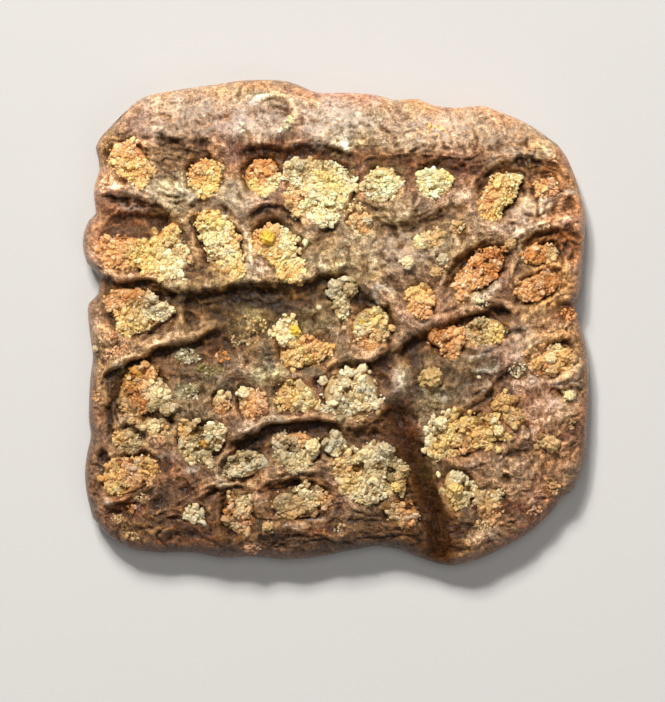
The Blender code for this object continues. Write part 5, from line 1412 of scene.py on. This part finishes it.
def make_plug(pit, lobes, recess, material, number):
    """The crust, the grains and the loose grains of one plug. Returns the large grains that lie in it."""
    rng = np.random.default_rng(SEED + number)
    spots = SPOTS[pit]

    def level(x, y):
        return sand_level(x, y, lobes, recess)

    groups = [crust(lobes, recess, spots, rng)]
    coarser = COARSER[pit[0]]
    for spacing, radius, lift in LAYERS:
        x, y = scatter(lobes_box(lobes), coarser * spacing, rng)
        (coarse, coarse_cell), (fine, fine_cell) = RAGGED
        ragged = coarse * noise(x, y, coarse_cell, 60 + number) + fine * noise(x, y, fine_cell, 60 - number)
        inside = plug_field(x, y, lobes) * (1 + ragged) < GRAINS_END
        x, y = x[inside], y[inside]
        z = level(x, y) + lift + LIFT_VARIES * rng.normal(size=len(x))
        groups += grain_groups(x, y, z, spots, rng, coarser * radius)
    spacing, radius, farthest = LOOSE
    x, y = scatter(lobes_box(lobes), spacing, rng)
    field = plug_field(x, y, lobes)
    loose = (field > 1) & (rng.uniform(size=len(x)) > smooth_step(LOOSE_FROM, farthest, field) ** 0.5)
    x, y = x[loose], y[loose]
    groups += grain_groups(x, y, BONE(x, y) + ON_BONE, spots, rng, radius)
    mine = [grain for grain in LARGE_GRAINS if in_plug(grain, lobes)]
    groups += large_grains(mine, level, rng)
    finish_sand("grains_" + pit, groups, material, "sand_" + pit)
    return mine


def make_strays(material, placed):
    """Smears and single grains that lie on the bone outside the plugs."""
    rng = np.random.default_rng(SEED - 1)
    spacing, radius = SMEAR_GRAINS
    groups = []
    for *ellipse, tone, cover in SMEARS:
        x, y = scatter(lobes_box([ellipse]), spacing, rng)
        field = from_ellipse(x, y, *ellipse) * (1 + SMEAR_RAGGED * noise(x, y, SMEAR_CELL, 70))
        inside = (field < 1) & (rng.uniform(size=len(x)) < cover)
        x, y = x[inside], y[inside]
        if len(x):
            groups += grain_groups(x, y, BONE(x, y) + ON_BONE, [(tone, *ellipse[:2])], rng, radius)
    rest = [grain for grain in LARGE_GRAINS if grain not in placed]
    groups += large_grains(rest, BONE, rng)
    finish_sand("stray_grains", groups, material)


# ---------------------------------------------------------------- materials

# Noise is hills per mm, detail and roughness, and after that two (place, level) stops that map it.

# Fossil bone.
BONE_MOTTLE = (0.35, 5, 0.65, (0.34, 0.75), (0.66, 1.25))
BONE_BLOTCHES = (1.1, 5, 0.6, (0.36, 0.66), (0.64, 1.36))
SPECKS = (4.2, 3, 0.6)
DARK_SPECKS = ((0.38, 0.95), (0.47, 0.0))
PALE_AND_GLINT_SPECKS = ((0.53, 0.0), (0.62, 0.95))
PALE_TIMES, PALE_PLUS = (2.0, 2.1, 2.2, 1), (0.05, 0.036, 0.022, 1)  # the pale colour against the bone's, partly painted glints
DEEP_TIMES = (0.36, 0.27, 0.16, 1)  # the dark one
VEINS = (1.7, 3, 0.6, 0.04)  # noise, and how far from its mean a line ends
VEINS_SHOW = 0.5            # how much of them is pale
SCRATCHES = ((25, 0.35, 2.4), (85, 0.3, 2.0), (140, 0.3, 2.6))  # degrees, and hills per mm along and across
SCRATCH_LINES = (1.0, 2, 0.5)
SCRATCH_WIDTH = 0.045       # how far from the noise's mean a scratch ends
SCRATCH_SHIFT = 7.0         # sets the noise of each direction apart
SCRATCHED_PLACES = (0.6, 2, 0.5, (0.45, 0.0), (0.58, 1.0))
CHALK_CRUMBS = (1.6, 8, 0.78, (0.45, 0.0), (0.55, 1.0))
CHALK_AND_GLINT_COLOUR = "e6d4c0"
BONE_ROUGHNESS = (1.1, 5, 0.65, (0.35, 0.12), (0.65, 0.34))
BONE_SPECULAR = 0.34
BONE_COAT, COAT_ROUGHNESS, COAT_IOR = 0.3, 0.1, 1.5
BONE_LUMPS = (1.3, 3, 0.6)
LUMP_RISE, VEIN_RISE, SCRATCH_RISE = 1.2, 0.3, 0.3  # heights against those of the specks
LEAST_BUMP = 0.2            # share of the fine relief that is left where there is no gloss
BONE_BUMP = (0.17, 1.0)     # mm, strength

# Quartz sand.
SAND_VARIES = (2.6, 4, 0.6, (0.3, 0.75), (0.7, 1.2))
SAND_ROUGHNESS = (2.0, 2, 0.5, (0.3, 0.3), (0.7, 0.55))
SAND_SPECULAR = 0.3
SEEPING = 0.6               # share of the light that goes through the grains
SEEPING_COLOURS = (1.0, 0.85, 0.65)
SEEPING_DEPTH = 0.3         # mm
SAND_LUMPS = (5.0, 4, 0.6)
SAND_BUMP = (0.06, 0.6)     # mm, strength

# The floor.
FLOOR_COLOUR = (0.6, 0.59, 0.575, 1)
FLOOR_ROUGHNESS = (0.08, 3, 0.5, (0.3, 0.7), (0.7, 0.8))


class Nodes:
    """Short calls for building a node tree on a Principled shader."""

    def __init__(self, name, **values):
        self.material = bpy.data.materials.new(name)
        self.material.use_nodes = True
        self.tree = self.material.node_tree
        self.shader = self.tree.nodes["Principled BSDF"]
        for socket, value in values.items():
            self.shader.inputs[socket.replace("_", " ")].default_value = value
        coordinates = self.node("ShaderNodeTexCoord")
        self.mm = self.moved(coordinates.outputs["Object"], Scale=(1 / MM, 1 / MM, 1 / MM))

    def node(self, kind, inputs=(), **settings):
        node = self.tree.nodes.new(kind)
        for key, value in settings.items():
            setattr(node, key, value)
        for socket, value in dict(inputs).items():
            self.feed(node.inputs[socket], value)
        return node

    def feed(self, socket, value):
        if isinstance(value, bpy.types.NodeSocket):
            self.tree.links.new(value, socket)
        else:
            socket.default_value = value

    def set(self, socket, value):
        self.feed(self.shader.inputs[socket], value)

    def moved(self, vector, **changes):
        """A place scaled, then turned, then shifted."""
        return self.node("ShaderNodeMapping", {"Vector": vector, **changes}).outputs["Vector"]

    def attribute(self, name):
        return self.node("ShaderNodeAttribute", attribute_name=name).outputs["Color"]

    def noise(self, scale, detail, roughness, vector=None):
        inputs = {"Vector": vector or self.mm, "Scale": scale, "Detail": detail, "Roughness": roughness}
        return self.node("ShaderNodeTexNoise", inputs).outputs["Fac"]

    def ramp(self, value, *stops):
        """Value mapped through (place, level) stops."""
        node = self.node("ShaderNodeValToRGB", {"Fac": value})
        for mark, (place, level) in zip(node.color_ramp.elements, stops):
            mark.position = place
            mark.color = (level, level, level, 1)
        return node.outputs["Color"]

    def clouds(self, scale, detail, roughness, *stops, vector=None):
        """Noise mapped through (place, level) stops."""
        return self.ramp(self.noise(scale, detail, roughness, vector), *stops)

    def lines(self, scale, detail, roughness, width, vector=None):
        """1 on fine wandering lines, where noise is at its mean, and 0 between them."""
        off = self.node("ShaderNodeMath", {0: self.plus(self.noise(scale, detail, roughness, vector), -0.5)},
                        operation="ABSOLUTE").outputs[0]
        return self.ramp(off, (0.0, 1.0), (width, 0.0))

    def scratches(self, directions, width):
        """1 on short, nearly straight lines that run in a few directions, 0 between them."""
        out = 0.0
        for k, (turn, along, across) in enumerate(directions):
            # A mapping node stretches before it turns, so a second one stretches along the turned axes.
            place = self.moved(self.mm, Rotation=(0, 0, math.radians(turn)))
            place = self.moved(place, Location=(SCRATCH_SHIFT * k, 0, 0), Scale=(along, across, 1))
            there = self.clouds(*SCRATCHED_PLACES, vector=place)
            line = self.times(self.lines(*SCRATCH_LINES, width, place), there)
            out = self.node("ShaderNodeMath", {0: out, 1: line}, operation="MAXIMUM").outputs[0]
        return out

    def mix(self, share, a, b, mode="MIX"):
        node = self.node("ShaderNodeMix", {0: share, 6: a, 7: b}, data_type="RGBA", blend_type=mode)
        return node.outputs[2]

    def tinted(self, colour, factor):
        return self.mix(1.0, colour, factor, "MULTIPLY")

    def times(self, a, b):
        return self.node("ShaderNodeMath", {0: a, 1: b}, operation="MULTIPLY").outputs[0]

    def plus(self, a, b):
        return self.node("ShaderNodeMath", {0: a, 1: b}, operation="ADD").outputs[0]

    def bump(self, height, distance, strength):
        return self.node("ShaderNodeBump", {"Height": height, "Distance": distance * MM,
                                            "Strength": strength}).outputs["Normal"]


def bone_material():
    """Fossil bone: brown and mottled, glossy, with pale scratches and dark specks, and chalky in places. The
    pale specks, veins and scratches are partly painted glints.
    """
    m = Nodes("fossil_bone", Metallic=0.0, Coat_Roughness=COAT_ROUGHNESS, Coat_IOR=COAT_IOR)
    tint = m.attribute("tint")
    wear_and_glints = m.node("ShaderNodeSeparateColor", {"Color": m.attribute("wear_and_glints")})
    chalk, gloss, scratched = (wear_and_glints.outputs[channel] for channel in ("Red", "Green", "Blue"))
    colour = m.tinted(m.tinted(tint, m.clouds(*BONE_MOTTLE)), m.clouds(*BONE_BLOTCHES))
    pale = m.mix(1.0, m.tinted(colour, PALE_TIMES), PALE_PLUS, "ADD")
    deep = m.tinted(colour, DEEP_TIMES)
    specks = m.noise(*SPECKS)
    colour = m.mix(m.times(gloss, m.ramp(specks, *DARK_SPECKS)), colour, deep)
    # Pale specks, veins and scratches, partly painted glints.
    colour = m.mix(m.times(gloss, m.ramp(specks, *PALE_AND_GLINT_SPECKS)), colour, pale)
    veins = m.lines(*VEINS)
    scratches = m.times(m.scratches(SCRATCHES, SCRATCH_WIDTH), scratched)
    colour = m.mix(m.times(veins, VEINS_SHOW), colour, pale)
    colour = m.mix(scratches, colour, pale)
    # Chalky skin and painted highlights, in one pale colour.
    colour = m.mix(m.times(m.clouds(*CHALK_CRUMBS), chalk), colour, (*rgb(CHALK_AND_GLINT_COLOUR), 1))
    m.set("Base Color", colour)
    m.set("Specular IOR Level", m.times(gloss, BONE_SPECULAR))
    m.set("Coat Weight", m.times(gloss, BONE_COAT))
    m.set("Roughness", m.clouds(*BONE_ROUGHNESS))
    height = m.plus(m.times(veins, VEIN_RISE), m.times(m.noise(*BONE_LUMPS), LUMP_RISE))
    height = m.plus(m.plus(height, specks), m.times(scratches, SCRATCH_RISE))
    height = m.times(height, m.plus(m.times(gloss, 1 - LEAST_BUMP), LEAST_BUMP))
    bump = m.bump(height, *BONE_BUMP)
    m.set("Normal", bump)
    m.set("Coat Normal", bump)
    return m.material


def sand_material():
    """Quartz sand: each grain its own colour, with small changes inside it, and light seeping through."""
    m = Nodes("quartz_sand", Metallic=0.0, Specular_IOR_Level=SAND_SPECULAR, Subsurface_Weight=SEEPING,
              Subsurface_Radius=SEEPING_COLOURS, Subsurface_Scale=SEEPING_DEPTH * MM)
    m.set("Base Color", m.tinted(m.attribute("tint"), m.clouds(*SAND_VARIES)))
    m.set("Roughness", m.clouds(*SAND_ROUGHNESS))
    m.set("Normal", m.bump(m.noise(*SAND_LUMPS), *SAND_BUMP))
    return m.material


def floor_material():
    m = Nodes("pale_paper", Metallic=0.0, Base_Color=FLOOR_COLOUR)
    m.set("Roughness", m.clouds(*FLOOR_ROUGHNESS))
    return m.material


# ---------------------------------------------------------------- floor, light and camera

FLOOR_HALF = 3000           # mm, half the floor's side
# Lamps: name, place and size in metres, watts, colour.
LIGHTS = [
    ("key", (-0.24, 0.76, 0.84), (0.34, 0.24), 14.4, (1.0, 0.97, 0.93)),
    ("small", (-0.32, 0.7, 0.88), (0.06, 0.06), 3.4, (1.0, 0.98, 0.95)),
    ("fill", (0.5, -0.5, 0.8), (0.6, 0.6), 1.4, (1.0, 0.97, 0.93)),
    ("top", (0.0, 0.1, 0.9), (0.4, 0.4), 1.6, (1.0, 1.0, 1.0)),
]
SKY_COLOUR, SKY_STRENGTH = (1.0, 0.96, 0.9, 1), 0.06
LENS, SENSOR = 180.0, 36.0  # mm
NEAREST = 0.01              # m, where the camera begins to see
PICTURE_HEIGHT = 702        # squares
PICTURE_CENTRE = (332.5, 351)  # squares, the plan point under the camera
TRUE_SCALE_LEVEL = 4.5      # mm above the floor where one square shows as one pixel


def make_floor():
    corners = [(-FLOOR_HALF, -FLOOR_HALF, 0), (FLOOR_HALF, -FLOOR_HALF, 0),
               (FLOOR_HALF, FLOOR_HALF, 0), (-FLOOR_HALF, FLOOR_HALF, 0)]
    floor = new_mesh_object("floor", corners, [(0, 1, 2, 3)])
    floor.data.materials.append(floor_material())


def make_light(name, place, size, power, colour):
    """A rectangular lamp that faces the part."""
    data = bpy.data.lights.new(name, "AREA")
    data.shape = "RECTANGLE"
    data.size, data.size_y = size
    data.energy = power
    data.color = colour
    lamp = bpy.data.objects.new(name, data)
    bpy.context.collection.objects.link(lamp)
    lamp.location = place
    lamp.rotation_euler = (Vector((0, 0, 0)) - Vector(place)).to_track_quat("-Z", "Y").to_euler()


def make_stage():
    make_floor()
    for light in LIGHTS:
        make_light(*light)
    world = bpy.data.worlds.new("studio")
    bpy.context.scene.world = world
    world.use_nodes = True
    background = world.node_tree.nodes["Background"]
    background.inputs["Color"].default_value = SKY_COLOUR
    background.inputs["Strength"].default_value = SKY_STRENGTH
    bpy.context.scene.view_settings.view_transform = "Standard"


def make_camera():
    """Looks straight down. One square at the true-scale level shows as one pixel."""
    data = bpy.data.cameras.new("camera")
    data.sensor_fit = "VERTICAL"
    data.sensor_height = SENSOR
    data.lens = LENS
    data.clip_start = NEAREST
    distance = data.lens / data.sensor_height * (PICTURE_HEIGHT * SQUARE)
    camera = bpy.data.objects.new("camera", data)
    bpy.context.collection.objects.link(camera)
    (cx, cy), = plan_mm([PICTURE_CENTRE])
    camera.location = (cx * MM, cy * MM, (TRUE_SCALE_LEVEL + distance) * MM)
    bpy.context.scene.camera = camera


# ---------------------------------------------------------------- the whole scene

PLAIN = Raster(lambda x, y: rounded(plain_level, x, y))
BONE = Raster(fine_top)
CREASE_SHADE_MASK = Raster(lambda x, y: crease_shade(*warped(x, y, STRAYING)))
BASINS = Raster(lambda x, y: blurred(rounded(bare_level, x, y) - BONE.values, BASIN_CELLS))
HOLLOWS = Raster(lambda x, y: blurred(BONE.values, HOLLOW_CELLS) - BONE.values)
DIMPLES = Raster(lambda x, y: blurred(BONE.values, DIMPLE_CELLS) - BONE.values)
make_camera()
make_stage()
make_bone(bone_material())
sand = sand_material()
placed_grains = []
for number, (pit, (lobes, recess)) in enumerate(SAND.items()):
    placed_grains += make_plug(pit, lobes, recess, sand, number)
make_strays(sand, placed_grains)
